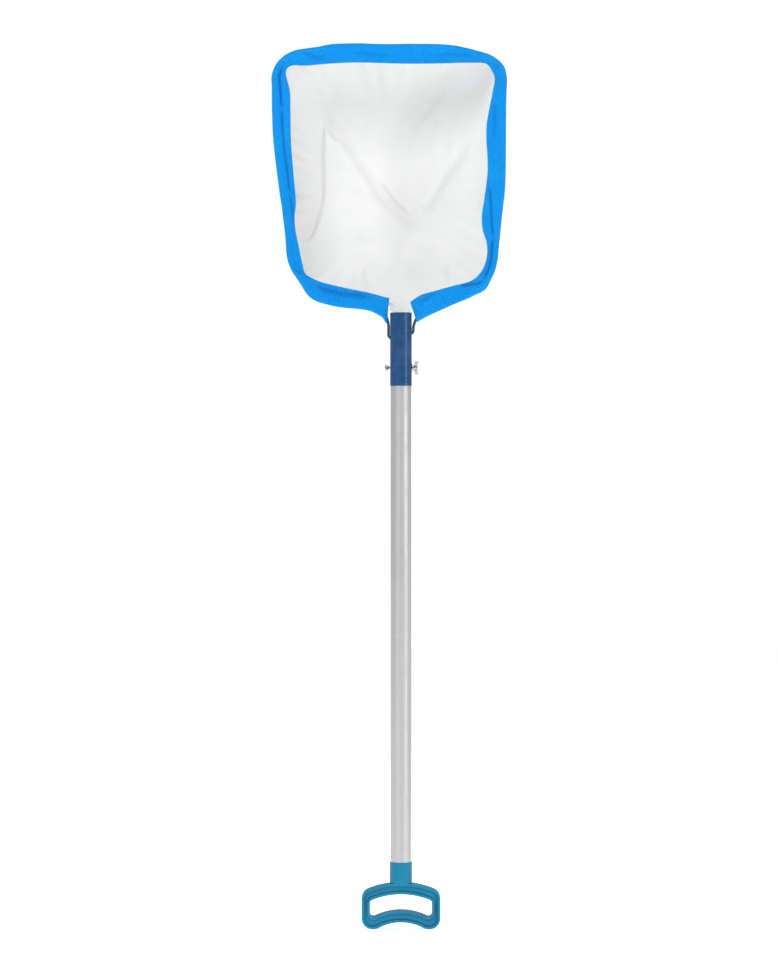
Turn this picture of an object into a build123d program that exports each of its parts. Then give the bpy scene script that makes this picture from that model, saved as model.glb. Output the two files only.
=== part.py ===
from build123d import *
import os
from math import asin, cos, radians, sin

# A hand leaf skimmer for pools and spas, in millimetres, standing upright: the D-grip is at the
# bottom, the pole runs up +Z and the net head is on top. The net's front faces -Y and its mesh
# bag hangs behind it, towards +Y. The origin is the middle of the grip bar, on the pole's axis.

# ---- Pole: two aluminium tubes, the lower one swaged into the upper one ----
pole_od = 28.0
pole_wall = 1.2
section_length = 400.0
swage_length = 60.0
swage_transition = 4.0
tube_fit = 0.05
tube_edge_round = 0.3

# ---- Handle: a D-grip whose bars follow arcs about one centre ----
grip_curve_radius = 73.1
grip_width = 15.6
finger_gap = 22.6
cross_bar_width = 15.1
handle_width = 107.4
side_bar_width = 11.4
handle_thickness = 25.0
lobe_reach = 9.3
lobe_round = 14.8
shoulder_round = 14.0
opening_round = 5.0
rim_width = 3.9
channel_depth = 2.6
rim_edge_round = 1.2
handle_socket_wall = 1.25
handle_socket_length = 28.1
handle_insertion = 30.0
spigot_wall = 3.0
socket_edge_round = 0.6

# ---- Head ferrule: a thin steel tube over the end of the pole ----
ferrule_wall = 0.7
ferrule_length = 100.3
head_insertion = 60.0
bolt_above_ferrule_end = 25.0

# ---- Hoop: one bent wire; sizes are to its centre line, from the ferrule's axis and top ----
wire_diameter = 3.8
wire_hole_clearance = 0.15
hoop_left = 173.0
hoop_right = 140.4
hoop_top = 364.0
left_end_drop = 34.7
right_end_drop = 28.6
wire_end_reach = 9.0
leg_bend_radius = 4.0
leg_gap = 0.3

# ---- Hem: a folded cloth strip; a fat sleeve round the wire and a thin flap inside it ----
hem_wall = 1.2
sleeve_width = 12.9
hem_width = 23.9
flap_thickness = 2.4
channel_clearance = 0.3
left_hem_gap = 1.45
right_hem_overhang = 2.25
right_hem_slant = 8.6
left_hem_tip = 8.8
right_hem_tip = 11.8

# ---- Stitching: two rows of thread on the front of the flap ----
stitch_width = 0.8
stitch_height = 0.3
stitch_rows = (14.6, 21.4)

# ---- Mesh bag ----
bag_depth = 100.0
bag_wall = 0.8
bag_seam_inset = 15.0
bag_panel_share = 0.8

# ---- Clamp bolt, washer and wing nut: M4 ----
bolt_diameter = 4.0
bolt_engagement = 4.4
bolt_hole_clearance = 0.3
bolt_head_diameter = 9.1
bolt_head_height = 3.0
bolt_head_edge = 0.6
bolt_neck_width = 5.2
bolt_neck_length = 1.5
bolt_neck_gap = 2.65
washer_diameter = 11.0
washer_thickness = 1.0
washer_gap = 0.1
nut_gap = 0.85
nut_hub_diameter = 7.4
nut_hub_length = 5.9
nut_thread_fit = 0.05
wing_span_radius = 10.0
wing_thickness = 1.6
wing_overhang = 2.8
wing_round = 2.2
wing_rest_angle = 20.0

# ---- Places worked out from the sizes above ----
pole_radius = pole_od / 2
pole_bore_radius = pole_radius - pole_wall
swage_radius = pole_bore_radius - tube_fit
swage_bore_radius = swage_radius - pole_wall
handle_end_z = grip_width / 2 + finger_gap + cross_bar_width + handle_socket_length
lower_pole_z = handle_end_z - handle_insertion
shoulder_z = lower_pole_z + section_length - swage_length
upper_pole_top_z = shoulder_z + section_length
ferrule_end_z = upper_pole_top_z - head_insertion
ferrule_top_z = ferrule_end_z + ferrule_length
bolt_z = ferrule_end_z + bolt_above_ferrule_end
ferrule_bore_radius = pole_radius + tube_fit
ferrule_radius = ferrule_bore_radius + ferrule_wall
handle_socket_radius = pole_radius + tube_fit + handle_socket_wall
wire_radius = wire_diameter / 2
sleeve_half_thickness = wire_radius + channel_clearance + hem_wall
sleeve_inset = sleeve_width - sleeve_half_thickness
flap_inset = hem_width - sleeve_half_thickness

# The head's outlines are drawn in this plane: x to the right, y up, from the ferrule's top.
head_plane = Plane(origin=(0, 0, ferrule_top_z), x_dir=(1, 0, 0), z_dir=(0, -1, 0))


def save(piece, name):
    """Labels a finished piece and writes its STEP file."""
    piece.part.label = name
    export_step(piece.part, f"parts/{name}.step")


os.makedirs("parts", exist_ok=True)

# ---- Handle ----
near_radius = grip_curve_radius + grip_width / 2
far_radius = near_radius + finger_gap
lobe_tip_z = -grip_width / 2 - lobe_reach
bar_radius = far_radius + cross_bar_width
arc_centre = (0, -grip_curve_radius)

with BuildSketch(Plane.XZ) as grip_outline:
    with Locations((0, lobe_tip_z)):
        Rectangle(handle_width, bar_radius, align=(Align.CENTER, Align.MIN))
    with Locations(arc_centre):
        Circle(bar_radius, mode=Mode.INTERSECT)
        Circle(grip_curve_radius - grip_width / 2, mode=Mode.SUBTRACT)
    fillet(grip_outline.vertices().group_by(Axis.Y)[0], radius=lobe_round)
    fillet(grip_outline.vertices().group_by(Axis.Y)[-1], radius=shoulder_round)

with BuildSketch(Plane.XZ) as finger_opening:
    with Locations((0, lobe_tip_z)):
        opening_width = handle_width - 2 * side_bar_width
        Rectangle(opening_width, bar_radius, align=(Align.CENTER, Align.MIN))
    with Locations(arc_centre):
        Circle(far_radius, mode=Mode.INTERSECT)
        Circle(near_radius, mode=Mode.SUBTRACT)
    fillet(finger_opening.vertices(), radius=opening_round)

with BuildPart() as handle:
    with BuildSketch(Plane.XZ):
        add(grip_outline.sketch_local)
        add(finger_opening.sketch_local, mode=Mode.SUBTRACT)
    extrude(amount=handle_thickness / 2, both=True)
    # A shallow channel runs all round both faces, between two rims.
    for face_y in (-handle_thickness / 2, handle_thickness / 2 - channel_depth):
        with BuildSketch(Plane.XZ.offset(-face_y)):
            offset(grip_outline.sketch_local, amount=-rim_width, mode=Mode.ADD)
            offset(finger_opening.sketch_local, amount=rim_width, mode=Mode.SUBTRACT)
        extrude(amount=-channel_depth, mode=Mode.SUBTRACT)
    rims = handle.faces().filter_by(Axis.Y).group_by(Axis.Y)
    fillet((rims[0] + rims[-1]).edges(), radius=rim_edge_round)
    # The round socket stands on the cross bar's outer rim.
    boss_z = handle_end_z - handle_socket_length - rim_width
    with BuildSketch(Plane.XY.offset(boss_z)):
        Circle(handle_socket_radius)
    extrude(amount=handle_end_z - boss_z)
    socket_mouth = handle.edges().filter_by(GeomType.CIRCLE).group_by(Axis.Z)[-1]
    fillet(socket_mouth, radius=socket_edge_round)
    # The tube slides into a ring-shaped pocket, over a hollow spigot.
    with BuildSketch(Plane.XY.offset(handle_end_z)):
        Circle(pole_radius + tube_fit)
        Circle(pole_bore_radius - tube_fit, mode=Mode.SUBTRACT)
    extrude(amount=-handle_insertion, mode=Mode.SUBTRACT)
    with BuildSketch(Plane.XY.offset(handle_end_z)):
        Circle(pole_bore_radius - tube_fit - spigot_wall)
    extrude(amount=-handle_insertion, mode=Mode.SUBTRACT)
save(handle, "handle")

# ---- Pole sections ----
with BuildPart() as pole_lower:
    with BuildSketch(Plane.XY.offset(lower_pole_z)):
        Circle(pole_radius)
        Circle(pole_bore_radius, mode=Mode.SUBTRACT)
    extrude(amount=shoulder_z - lower_pole_z)
    # The wall steps inwards over a short thick ring, and goes on as the swaged end.
    with BuildSketch(Plane.XY.offset(shoulder_z - swage_transition)):
        Circle(pole_bore_radius)
    extrude(amount=swage_transition)
    with BuildSketch(Plane.XY.offset(shoulder_z)):
        Circle(swage_radius)
    extrude(amount=swage_length)
    tip = pole_lower.edges().filter_by(GeomType.CIRCLE).group_by(Axis.Z)[-1]
    chamfer(tip, length=pole_wall / 2)
    with BuildSketch(Plane.XY.offset(shoulder_z - swage_transition)):
        Circle(swage_bore_radius)
    extrude(amount=swage_transition + swage_length, mode=Mode.SUBTRACT)
save(pole_lower, "pole_lower")

with BuildPart() as pole_upper:
    with BuildSketch(Plane.XY.offset(shoulder_z)):
        Circle(pole_radius)
        Circle(pole_bore_radius, mode=Mode.SUBTRACT)
    extrude(amount=section_length)
    with BuildSketch(Plane.YZ):
        with Locations((0, bolt_z)):
            Circle(bolt_diameter / 2 + bolt_hole_clearance)
    extrude(amount=pole_od, both=True, mode=Mode.SUBTRACT)
save(pole_upper, "pole_upper")

# ---- Hoop ----
leg_x = ferrule_radius + wire_radius + leg_gap

# Corners of the wire's centre line between the two legs, each with its bend radius. They run
# clockwise as seen from the front, from the left of the throat over the top to the right of it.
hoop_corners = [
    (-leg_x - 4.2, -1.0, 8.0),
    (-leg_x - 28.0, 7.5, 40.0),
    (-hoop_left + 54.0, 19.5, 45.0),
    (-hoop_left + 21.0, 78.0, 55.0),
    (-hoop_left, hoop_top - 84.0, 150.0),
    (-hoop_left, hoop_top - 14.0, 38.0),
    (-hoop_left / 2, hoop_top, 150.0),
    (hoop_right / 2 + 5.0, hoop_top - 1.0, 150.0),
    (hoop_right, hoop_top - 22.0, 28.0),
    (hoop_right - 0.5, hoop_top / 2, 300.0),
    (hoop_right - 12.8, 64.0, 40.0),
    (hoop_right - 30.0, 32.0, 24.0),
    (leg_x + 3.6, -8.0, 7.0),
]
left_leg = [(-leg_x, -left_end_drop, leg_bend_radius), (-leg_x, -16.0, 20.0)]
right_leg = [(leg_x, -19.0, 20.0), (leg_x, -right_end_drop, leg_bend_radius)]
wire_corners = left_leg + hoop_corners + right_leg
wire_points = [(wire_end_reach, -left_end_drop)]
wire_points += [(x, y) for x, y, bend in wire_corners]
wire_points += [(-wire_end_reach, -right_end_drop)]
wire_bends = [bend for x, y, bend in wire_corners]


with BuildLine(head_plane) as wire_line:
    FilletPolyline(*wire_points, radius=wire_bends)
wire_end_plane = Plane(origin=wire_line.line @ 0, z_dir=wire_line.line % 0)

with BuildPart() as hoop_frame:
    with BuildSketch(wire_end_plane):
        Circle(wire_radius)
    sweep(path=wire_line.line)
save(hoop_frame, "hoop_frame")

# ---- Ferrule ----
with BuildPart() as ferrule:
    with BuildSketch(Plane.XY.offset(ferrule_end_z)):
        Circle(ferrule_radius)
        Circle(ferrule_bore_radius, mode=Mode.SUBTRACT)
    extrude(amount=ferrule_length)
    outer_rims = ferrule.edges().filter_by(GeomType.CIRCLE)
    outer_rims = outer_rims.filter_by(lambda rim: rim.radius > ferrule_radius - tube_fit)
    fillet(outer_rims, radius=tube_edge_round)
    with BuildSketch(Plane.YZ):
        with Locations((0, bolt_z)):
            Circle(bolt_diameter / 2 + bolt_hole_clearance)
    extrude(amount=2 * ferrule_radius, both=True, mode=Mode.SUBTRACT)
    # Each end of the hoop's wire goes in through a hole in its own side.
    with BuildSketch(wire_end_plane):
        Circle(wire_radius + wire_hole_clearance)
    sweep(path=wire_line.line, mode=Mode.SUBTRACT)
save(ferrule, "ferrule")


# ---- Hem ----
with BuildSketch(head_plane) as inside_hoop:
    with BuildLine():
        rim_line = [left_leg[-1]] + hoop_corners + [right_leg[0]]
        FilletPolyline(
            *[(x, y) for x, y, bend in rim_line], radius=[bend for x, y, bend in rim_line[1:-1]]
        )
        Line(rim_line[-1][:2], rim_line[0][:2])
    make_face()

# The cloth stops short of the ferrule: square on the left, and cut at a slant on the right.
left_hem_end = -ferrule_radius - left_hem_gap
right_hem_end = ferrule_radius - right_hem_overhang
throat_top = hem_width + left_hem_tip
with BuildSketch(head_plane) as throat_gap:
    with BuildLine():
        Polyline(
            (left_hem_end, throat_top),
            (left_hem_end, -left_hem_tip),
            (-hoop_left, -left_hem_tip),
            (-hoop_left, -left_end_drop),
            (hoop_right, -left_end_drop),
            (hoop_right, -right_hem_tip),
            (right_hem_end + right_hem_slant, -right_hem_tip),
            (right_hem_end, left_hem_tip),
            (right_hem_end, throat_top),
            close=True,
        )
    make_face()

with BuildPart() as hem_sleeve:
    with BuildSketch(head_plane):
        offset(inside_hoop.sketch_local, amount=sleeve_half_thickness, mode=Mode.ADD)
        offset(inside_hoop.sketch_local, amount=-sleeve_inset, mode=Mode.SUBTRACT)
        add(throat_gap.sketch_local, mode=Mode.SUBTRACT)
    extrude(amount=sleeve_half_thickness, both=True)
    with BuildSketch(head_plane):
        offset(inside_hoop.sketch_local, amount=-sleeve_inset, mode=Mode.ADD)
        offset(inside_hoop.sketch_local, amount=-flap_inset, mode=Mode.SUBTRACT)
        add(throat_gap.sketch_local, mode=Mode.SUBTRACT)
    extrude(amount=flap_thickness / 2, both=True)
    # The wire's passage through the sleeve.
    with BuildSketch(wire_end_plane):
        Circle(wire_radius + channel_clearance)
    sweep(path=wire_line.line, mode=Mode.SUBTRACT)
save(hem_sleeve, "hem_sleeve")

# ---- Stitching ----
with BuildPart() as hem_stitching:
    for row in stitch_rows:
        with BuildSketch(head_plane.offset(flap_thickness / 2)):
            row_inset = row - sleeve_half_thickness
            offset(inside_hoop.sketch_local, amount=-row_inset, mode=Mode.ADD)
            offset(inside_hoop.sketch_local, amount=-row_inset - stitch_width, mode=Mode.SUBTRACT)
            add(throat_gap.sketch_local, mode=Mode.SUBTRACT)
        extrude(amount=stitch_height)
save(hem_stitching, "hem_stitching")

# ---- Mesh bag: a side panel all round, and a dished back panel sewn to its rear edge ----
# Corners of the seam line behind the hem, each with its corner radius, clockwise from the throat.
bag_left = -hoop_left + bag_seam_inset
bag_right = hoop_right - bag_seam_inset
bag_top = hoop_top - bag_seam_inset
bag_corners = [
    (0.0, 6.0, 8.0),
    (-hoop_left + 58.0, 38.0, 30.0),
    (-hoop_left + 36.0, 86.0, 45.0),
    (bag_left, hoop_top - 84.0, 120.0),
    (bag_left, bag_top - 14.0, 26.0),
    (-hoop_left / 2, bag_top - 1.0, 150.0),
    (hoop_right / 2 + 5.0, bag_top - 2.0, 150.0),
    (bag_right, bag_top - 19.0, 22.0),
    (bag_right, hoop_top / 2, 300.0),
    (hoop_right - 29.0, 72.0, 60.0),
    (hoop_right - 44.0, 42.0, 30.0),
]
bag_middle = ((hoop_right - hoop_left) / 2, hoop_top / 2)
# How far back each section of the bag lies, as a share of its depth, and how wide it is there.
bag_sections = ((0.0, 1.0), (0.42, 0.96), (bag_panel_share, 0.86), (1.0, 0.62))
bag_front_y = flap_thickness / 2


def draw_bag_section(back, size, inset):
    """Sketches the bag's outline at distance `back` behind its seam, taken in by `inset`."""
    reach = size * (1.0 - inset / bag_right)
    mid_x, mid_z = bag_middle
    points = [(mid_x + reach * (x - mid_x), mid_z + reach * (z - mid_z)) for x, z, bend in bag_corners]
    with BuildSketch(head_plane.offset(-bag_front_y - back)) as section:
        with BuildLine():
            FilletPolyline(*points, radius=[reach * bend for x, z, bend in bag_corners], close=True)
        make_face()
    return section.sketch


with BuildPart() as bag_shell:
    outer_sections = [draw_bag_section(share * bag_depth, size, 0.0) for share, size in bag_sections]
    loft(sections=outer_sections, ruled=True)
    inner_depth = bag_depth - bag_wall
    inner_sections = [draw_bag_section(share * inner_depth, size, bag_wall) for share, size in bag_sections]
    loft(sections=inner_sections, ruled=True, mode=Mode.SUBTRACT)
panel_seam = head_plane.offset(-bag_front_y - bag_panel_share * bag_depth)

with BuildPart() as bag_side_panel:
    add(bag_shell)
    split(bisect_by=panel_seam, keep=Keep.TOP)
save(bag_side_panel, "bag_side_panel")

with BuildPart() as bag_back_panel:
    add(bag_shell)
    split(bisect_by=panel_seam, keep=Keep.BOTTOM)
save(bag_back_panel, "bag_back_panel")

# ---- Clamp bolt: its axis is X, its head is on the left ----
head_seat_x = -ferrule_radius - bolt_neck_gap - bolt_neck_length
washer_x = ferrule_radius + washer_gap
nut_x = washer_x + washer_thickness + nut_gap
bolt_length = nut_x + bolt_engagement - head_seat_x
with BuildPart() as clamp_bolt:
    # The mushroom head is a low spherical dome with a thin straight edge.
    head_radius = bolt_head_diameter / 2
    dome_height = bolt_head_height - bolt_head_edge
    dome_radius = (head_radius**2 + dome_height**2) / (2 * dome_height)
    dome_half_angle = asin(head_radius / dome_radius) / 2
    dome_top_x = head_seat_x - bolt_head_height
    with BuildSketch(Plane.XZ):
        with BuildLine():
            Polyline(
                (dome_top_x, bolt_z),
                (head_seat_x, bolt_z),
                (head_seat_x, bolt_z + head_radius),
                (head_seat_x - bolt_head_edge, bolt_z + head_radius),
            )
            ThreePointArc(
                (head_seat_x - bolt_head_edge, bolt_z + head_radius),
                (
                    dome_top_x + dome_radius * (1 - cos(dome_half_angle)),
                    bolt_z + dome_radius * sin(dome_half_angle),
                ),
                (dome_top_x, bolt_z),
            )
        make_face()
    revolve(axis=Axis((0, 0, bolt_z), (1, 0, 0)))
    with BuildSketch(Plane.YZ.offset(head_seat_x)):
        with Locations((0, bolt_z)):
            Rectangle(bolt_neck_width, bolt_neck_width)
    extrude(amount=bolt_neck_length)
    with BuildSketch(Plane.YZ.offset(head_seat_x)):
        with Locations((0, bolt_z)):
            Circle(bolt_diameter / 2)
    extrude(amount=bolt_length)
    chamfer(clamp_bolt.edges().filter_by(GeomType.CIRCLE).group_by(Axis.X)[-1], length=0.4)
save(clamp_bolt, "clamp_bolt")

# ---- Washer ----
with BuildPart() as nut_washer:
    with BuildSketch(Plane.YZ.offset(washer_x)):
        with Locations((0, bolt_z)):
            Circle(washer_diameter / 2)
            Circle(bolt_diameter / 2 + bolt_hole_clearance, mode=Mode.SUBTRACT)
    extrude(amount=washer_thickness)
save(nut_washer, "nut_washer")

# ---- Wing nut: a tapered hub and two wings that lean away from the ferrule ----
hub_radius = nut_hub_diameter / 2
wing_tilt = radians(wing_rest_angle)
wing_plane = Plane(
    origin=(nut_x, 0, bolt_z), x_dir=(1, 0, 0), z_dir=(0, -cos(wing_tilt), -sin(wing_tilt))
)
with BuildPart() as wing_nut:
    with BuildSketch(Plane.YZ.offset(nut_x)):
        with Locations((0, bolt_z)):
            Circle(hub_radius)
    extrude(amount=nut_hub_length, taper=3)
    for side in (-1, 1):
        with BuildSketch(wing_plane) as wing:
            with BuildLine():
                Polyline(
                    (nut_hub_length * 0.15, side * hub_radius * 0.7),
                    (nut_hub_length * 0.5, side * wing_span_radius),
                    (nut_hub_length + wing_overhang, side * wing_span_radius),
                    (nut_hub_length * 0.9, side * hub_radius * 0.7),
                    close=True,
                )
            make_face()
            tips = wing.vertices().sort_by(Axis.Y, reverse=side > 0)[:2]
            fillet(tips, radius=wing_round)
        extrude(amount=wing_thickness / 2, both=True)
    with BuildSketch(Plane.YZ.offset(nut_x)):
        with Locations((0, bolt_z)):
            Circle(bolt_diameter / 2 + nut_thread_fit)
    extrude(amount=nut_hub_length, mode=Mode.SUBTRACT)
save(wing_nut, "wing_nut")
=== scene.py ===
"""A leaf skimmer net for pools and spas: its finishes, its cloth and its studio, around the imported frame."""
import logging
import math
from dataclasses import dataclass, field
from enum import Enum
from typing import Optional, Sequence

import bmesh
import bpy
import numpy as np
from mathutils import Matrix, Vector


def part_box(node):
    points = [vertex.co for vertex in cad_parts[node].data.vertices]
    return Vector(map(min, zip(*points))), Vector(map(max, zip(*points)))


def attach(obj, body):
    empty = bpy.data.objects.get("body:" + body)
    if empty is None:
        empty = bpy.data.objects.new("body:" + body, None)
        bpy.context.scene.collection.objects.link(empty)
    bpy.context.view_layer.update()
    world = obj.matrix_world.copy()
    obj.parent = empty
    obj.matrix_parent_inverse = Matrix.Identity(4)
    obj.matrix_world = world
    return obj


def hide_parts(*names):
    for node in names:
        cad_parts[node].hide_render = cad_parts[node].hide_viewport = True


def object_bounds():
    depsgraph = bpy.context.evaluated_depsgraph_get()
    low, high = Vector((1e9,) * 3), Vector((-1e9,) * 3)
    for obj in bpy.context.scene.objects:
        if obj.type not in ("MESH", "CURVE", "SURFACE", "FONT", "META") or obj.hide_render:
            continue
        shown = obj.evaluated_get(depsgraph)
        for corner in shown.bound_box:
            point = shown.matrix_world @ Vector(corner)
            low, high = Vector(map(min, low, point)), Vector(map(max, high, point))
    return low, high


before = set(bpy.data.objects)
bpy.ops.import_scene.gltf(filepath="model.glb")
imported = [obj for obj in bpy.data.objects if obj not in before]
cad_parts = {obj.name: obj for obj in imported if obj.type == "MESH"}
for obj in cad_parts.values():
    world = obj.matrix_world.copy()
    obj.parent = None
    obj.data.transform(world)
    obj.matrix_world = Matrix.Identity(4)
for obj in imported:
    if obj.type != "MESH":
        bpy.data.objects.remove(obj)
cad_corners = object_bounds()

MM = 0.001
# The stretch of a grain that is as long as it is wide.
EVEN = (1.0, 1.0, 1.0)
# Steps between two stations of the hem.
STATION_STEPS = 40
log = logging.getLogger("leaf_skimmer")


class Body(Enum):
    """The bodies that carry the new pieces."""

    NET = "net_section"
    BOLT = "clamp_bolt"


class Slot(Enum):
    """Slot names for the new pieces, paired with them in the hem's build but not given to them."""

    HEM = "hem_cloth"
    THREAD = "hem_thread"
    MESH = "net_mesh"
    ZINC = "zinc_steel"


class Side(Enum):
    """The two faces of the net, by the sign of their Y."""

    FRONT = -1.0
    BACK = 1.0


# ---------------------------------------------------------------- shapes


def srgb(red: int, green: int, blue: int) -> tuple[float, float, float, float]:
    """A screen colour as the linear colour that a shader takes.

    Args:
        red, green, blue: the colour from 0 to 255.

    Returns:
        Linear red, green, blue and an alpha of 1.
    """
    share = np.array([red, green, blue]) / 255.0
    linear = np.where(share <= 0.04045, share / 12.92, ((share + 0.055) / 1.055) ** 2.4)
    return (*(float(x) for x in linear), 1.0)


def ease(share: np.ndarray) -> np.ndarray:
    """The share clipped to 0 to 1, then 3 of its square less 2 of its cube."""
    share = np.clip(share, 0.0, 1.0)
    return share * share * (3.0 - 2.0 * share)


def lengths_along(line: np.ndarray) -> np.ndarray:
    """How far along a line each of its points is, from 0."""
    steps = np.linalg.norm(np.diff(line, axis=0), axis=1)
    return np.concatenate([[0.0], np.cumsum(steps)])


def smooth_line(corners: np.ndarray, per_span: int) -> np.ndarray:
    """A smooth line through some corners.

    Between two corners it is the cubic whose slope at each corner is half the chord across that
    corner's neighbours.

    Args:
        corners: the points, one a row.
        per_span: steps between two corners.

    Returns:
        The line's points, one a row.
    """
    padded = np.vstack([2 * corners[:1] - corners[1:2], corners, 2 * corners[-1:] - corners[-2:-1]])
    before, start, end, after = padded[:-3], padded[1:-2], padded[2:-1], padded[3:]
    t = np.linspace(0.0, 1.0, per_span, endpoint=False)[None, :, None]
    before, start, end, after = (x[:, None, :] for x in (before, start, end, after))
    line = start + 0.5 * t * (
        (end - before)
        + t * (2 * before - 5 * start + 4 * end - after)
        + t * t * (3 * start - before - 3 * end + after)
    )
    return np.vstack([line.reshape(-1, corners.shape[1]), corners[-1:]])


def resample(line: np.ndarray, places: np.ndarray) -> np.ndarray:
    """The points that lie at the given distances along a line."""
    reach = lengths_along(line)
    return np.stack([np.interp(places, reach, line[:, k]) for k in range(line.shape[1])], axis=-1)


def ripple(x: np.ndarray, z: np.ndarray, wavelength: float, seed: int) -> np.ndarray:
    """A smooth uneven field from about -1 to 1: the mean of twelve plane waves.

    Args:
        x, z: where to read it.
        wavelength: the usual distance between crests.
        seed: which field.

    Returns:
        The field at each point.
    """
    rng = np.random.default_rng(seed)
    angle, phase = rng.uniform(0, 2 * np.pi, 12), rng.uniform(0, 2 * np.pi, 12)
    rate = 2 * np.pi / (wavelength * rng.uniform(0.7, 1.5, 12))
    waves = np.sin(x[..., None] * rate * np.cos(angle) + z[..., None] * rate * np.sin(angle) + phase)
    return waves.sum(-1) / 4.0


def fading(x: np.ndarray, z: np.ndarray, line: np.ndarray, reach: float) -> np.ndarray:
    """How much of a fold is left near its line's two ends: one less a bell shape of the distance
    to each end.

    Args:
        x, z: the places.
        line: the fold's points.
        reach: how wide each bell is.

    Returns:
        A share from 0 at either end to 1 far from both.
    """
    first, last = (((x - end[0]) ** 2 + (z - end[1]) ** 2) / reach**2 for end in (line[0], line[-1]))
    return (1 - np.exp(-first)) * (1 - np.exp(-last))


def distance_to_line(x: np.ndarray, z: np.ndarray, line: np.ndarray) -> np.ndarray:
    """How far each point of a field is from the nearest span of a flat line."""
    start, span = line[:-1], np.diff(line, axis=0)
    dx, dz = x[..., None] - start[:, 0], z[..., None] - start[:, 1]
    share = np.clip((dx * span[:, 0] + dz * span[:, 1]) / (span**2).sum(1), 0.0, 1.0)
    return np.hypot(dx - share * span[:, 0], dz - share * span[:, 1]).min(-1)


@dataclass
class Surface:
    """A grid of points that becomes one mesh.

    Attributes:
        points: the places, rows by columns by 3.
        closed_columns: whether the last column joins the first.
        turned: whether the faces point the other way.
        pattern: the cloth's own coordinates in metres, with one more column where the grid closes,
            so that the pattern runs on over the seam.
        mask: a value from 0 to 1 at each point, for the finish.
    """

    points: np.ndarray
    closed_columns: bool = False
    turned: bool = False
    pattern: Optional[np.ndarray] = None
    mask: Optional[np.ndarray] = None

    def piece(self, name: str, finish: bpy.types.Material, merge: bool = False) -> bpy.types.Object:
        """Makes the mesh object.

        Args:
            name: the piece's name.
            finish: its material.
            merge: whether points in one place become one, as at a pole.

        Returns:
            The new object, linked to the scene.
        """
        rows, columns = self.points.shape[:2]
        i, j = np.meshgrid(
            np.arange(rows - 1),
            np.arange(columns if self.closed_columns else columns - 1),
            indexing="ij",
        )
        i, j = i.ravel(), j.ravel()
        row = np.stack([i, i + 1, i + 1, i], axis=-1)
        column = np.stack([j, j, j + 1, j + 1], axis=-1)
        if self.turned:
            row, column = row[:, ::-1], column[:, ::-1]
        quads = row * columns + column % columns
        mesh = bpy.data.meshes.new(name)
        mesh.vertices.add(rows * columns)
        mesh.vertices.foreach_set("co", self.points.astype(np.float32).ravel())
        mesh.loops.add(quads.size)
        mesh.loops.foreach_set("vertex_index", quads.astype(np.int32).ravel())
        mesh.polygons.add(len(quads))
        mesh.polygons.foreach_set("loop_start", np.arange(0, quads.size, 4, dtype=np.int32))
        mesh.update(calc_edges=True)
        if self.pattern is not None:
            layer = mesh.uv_layers.new(name="cloth")
            layer.data.foreach_set("uv", self.pattern[row, column].astype(np.float32).ravel())
        if self.mask is not None:
            values = mesh.attributes.new("crease", "FLOAT", "POINT")
            values.data.foreach_set("value", self.mask.astype(np.float32).ravel())
        if merge:
            merged = bmesh.new()
            merged.from_mesh(mesh)
            bmesh.ops.remove_doubles(merged, verts=merged.verts, dist=1e-6)
            merged.to_mesh(mesh)
            merged.free()
        mesh.shade_smooth()
        mesh.materials.append(finish)
        piece = bpy.data.objects.new(name, mesh)
        bpy.context.scene.collection.objects.link(piece)
        return piece


def tube(line: np.ndarray, radii: np.ndarray, sides: int, across: Sequence[float] = (0, 1, 0)) -> Surface:
    """A round tube along a line: each point of the line carries a circle square to it.

    Args:
        line: the centreline, one point a row.
        radii: the radius at each point.
        sides: points round each circle.
        across: a direction that the line never runs along.

    Returns:
        The tube, closed round its line, with both ends drawn in to a point.
    """
    along = np.gradient(line, axis=0)
    along /= np.linalg.norm(along, axis=1, keepdims=True)
    side = np.cross(along, np.array(across, float))
    side /= np.linalg.norm(side, axis=1, keepdims=True)
    up = np.cross(side, along)
    turn = np.linspace(0, 2 * np.pi, sides, endpoint=False)
    radii = np.concatenate([[0.0], radii, [0.0]])[:, None, None]
    line, side, up = (np.vstack([x[:1], x, x[-1:]])[:, None, :] for x in (line, side, up))
    ring = np.cos(turn)[None, :, None] * side + np.sin(turn)[None, :, None] * up
    return Surface(line + radii * ring, closed_columns=True)


def grid_faces(rows: int, around: int) -> np.ndarray:
    """The faces of a grid whose columns close.

    Args:
        rows: the grid's rows.
        around: its columns.

    Returns:
        One face a row, each as four places in the grid's flat list of points.
    """
    i, j = np.meshgrid(np.arange(rows - 1), np.arange(around), indexing="ij")
    i, j = i.ravel(), j.ravel()
    after = (j + 1) % around
    return np.stack(
        [i * around + j, i * around + after, (i + 1) * around + after, (i + 1) * around + j], axis=-1)


def solid_piece(
    name: str, points: np.ndarray, faces: np.ndarray, finish: bpy.types.Material, reach: float
) -> bpy.types.Object:
    """Makes one piece of closed shapes, with all their faces outwards.

    Args:
        name: the piece's name.
        points: the points, one a row.
        faces: the faces, each as places in the list of points.
        finish: the material.
        reach: how close points are that become one.

    Returns:
        The new object, linked to the scene.
    """
    mesh = bpy.data.meshes.new(name)
    mesh.from_pydata(points, [], faces)
    merged = bmesh.new()
    merged.from_mesh(mesh)
    bmesh.ops.remove_doubles(merged, verts=merged.verts, dist=reach)
    bmesh.ops.recalc_face_normals(merged, faces=merged.faces)
    merged.to_mesh(mesh)
    merged.free()
    mesh.shade_smooth()
    mesh.materials.append(finish)
    piece = bpy.data.objects.new(name, mesh)
    bpy.context.scene.collection.objects.link(piece)
    return piece


# ---------------------------------------------------------------- finishes


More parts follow.
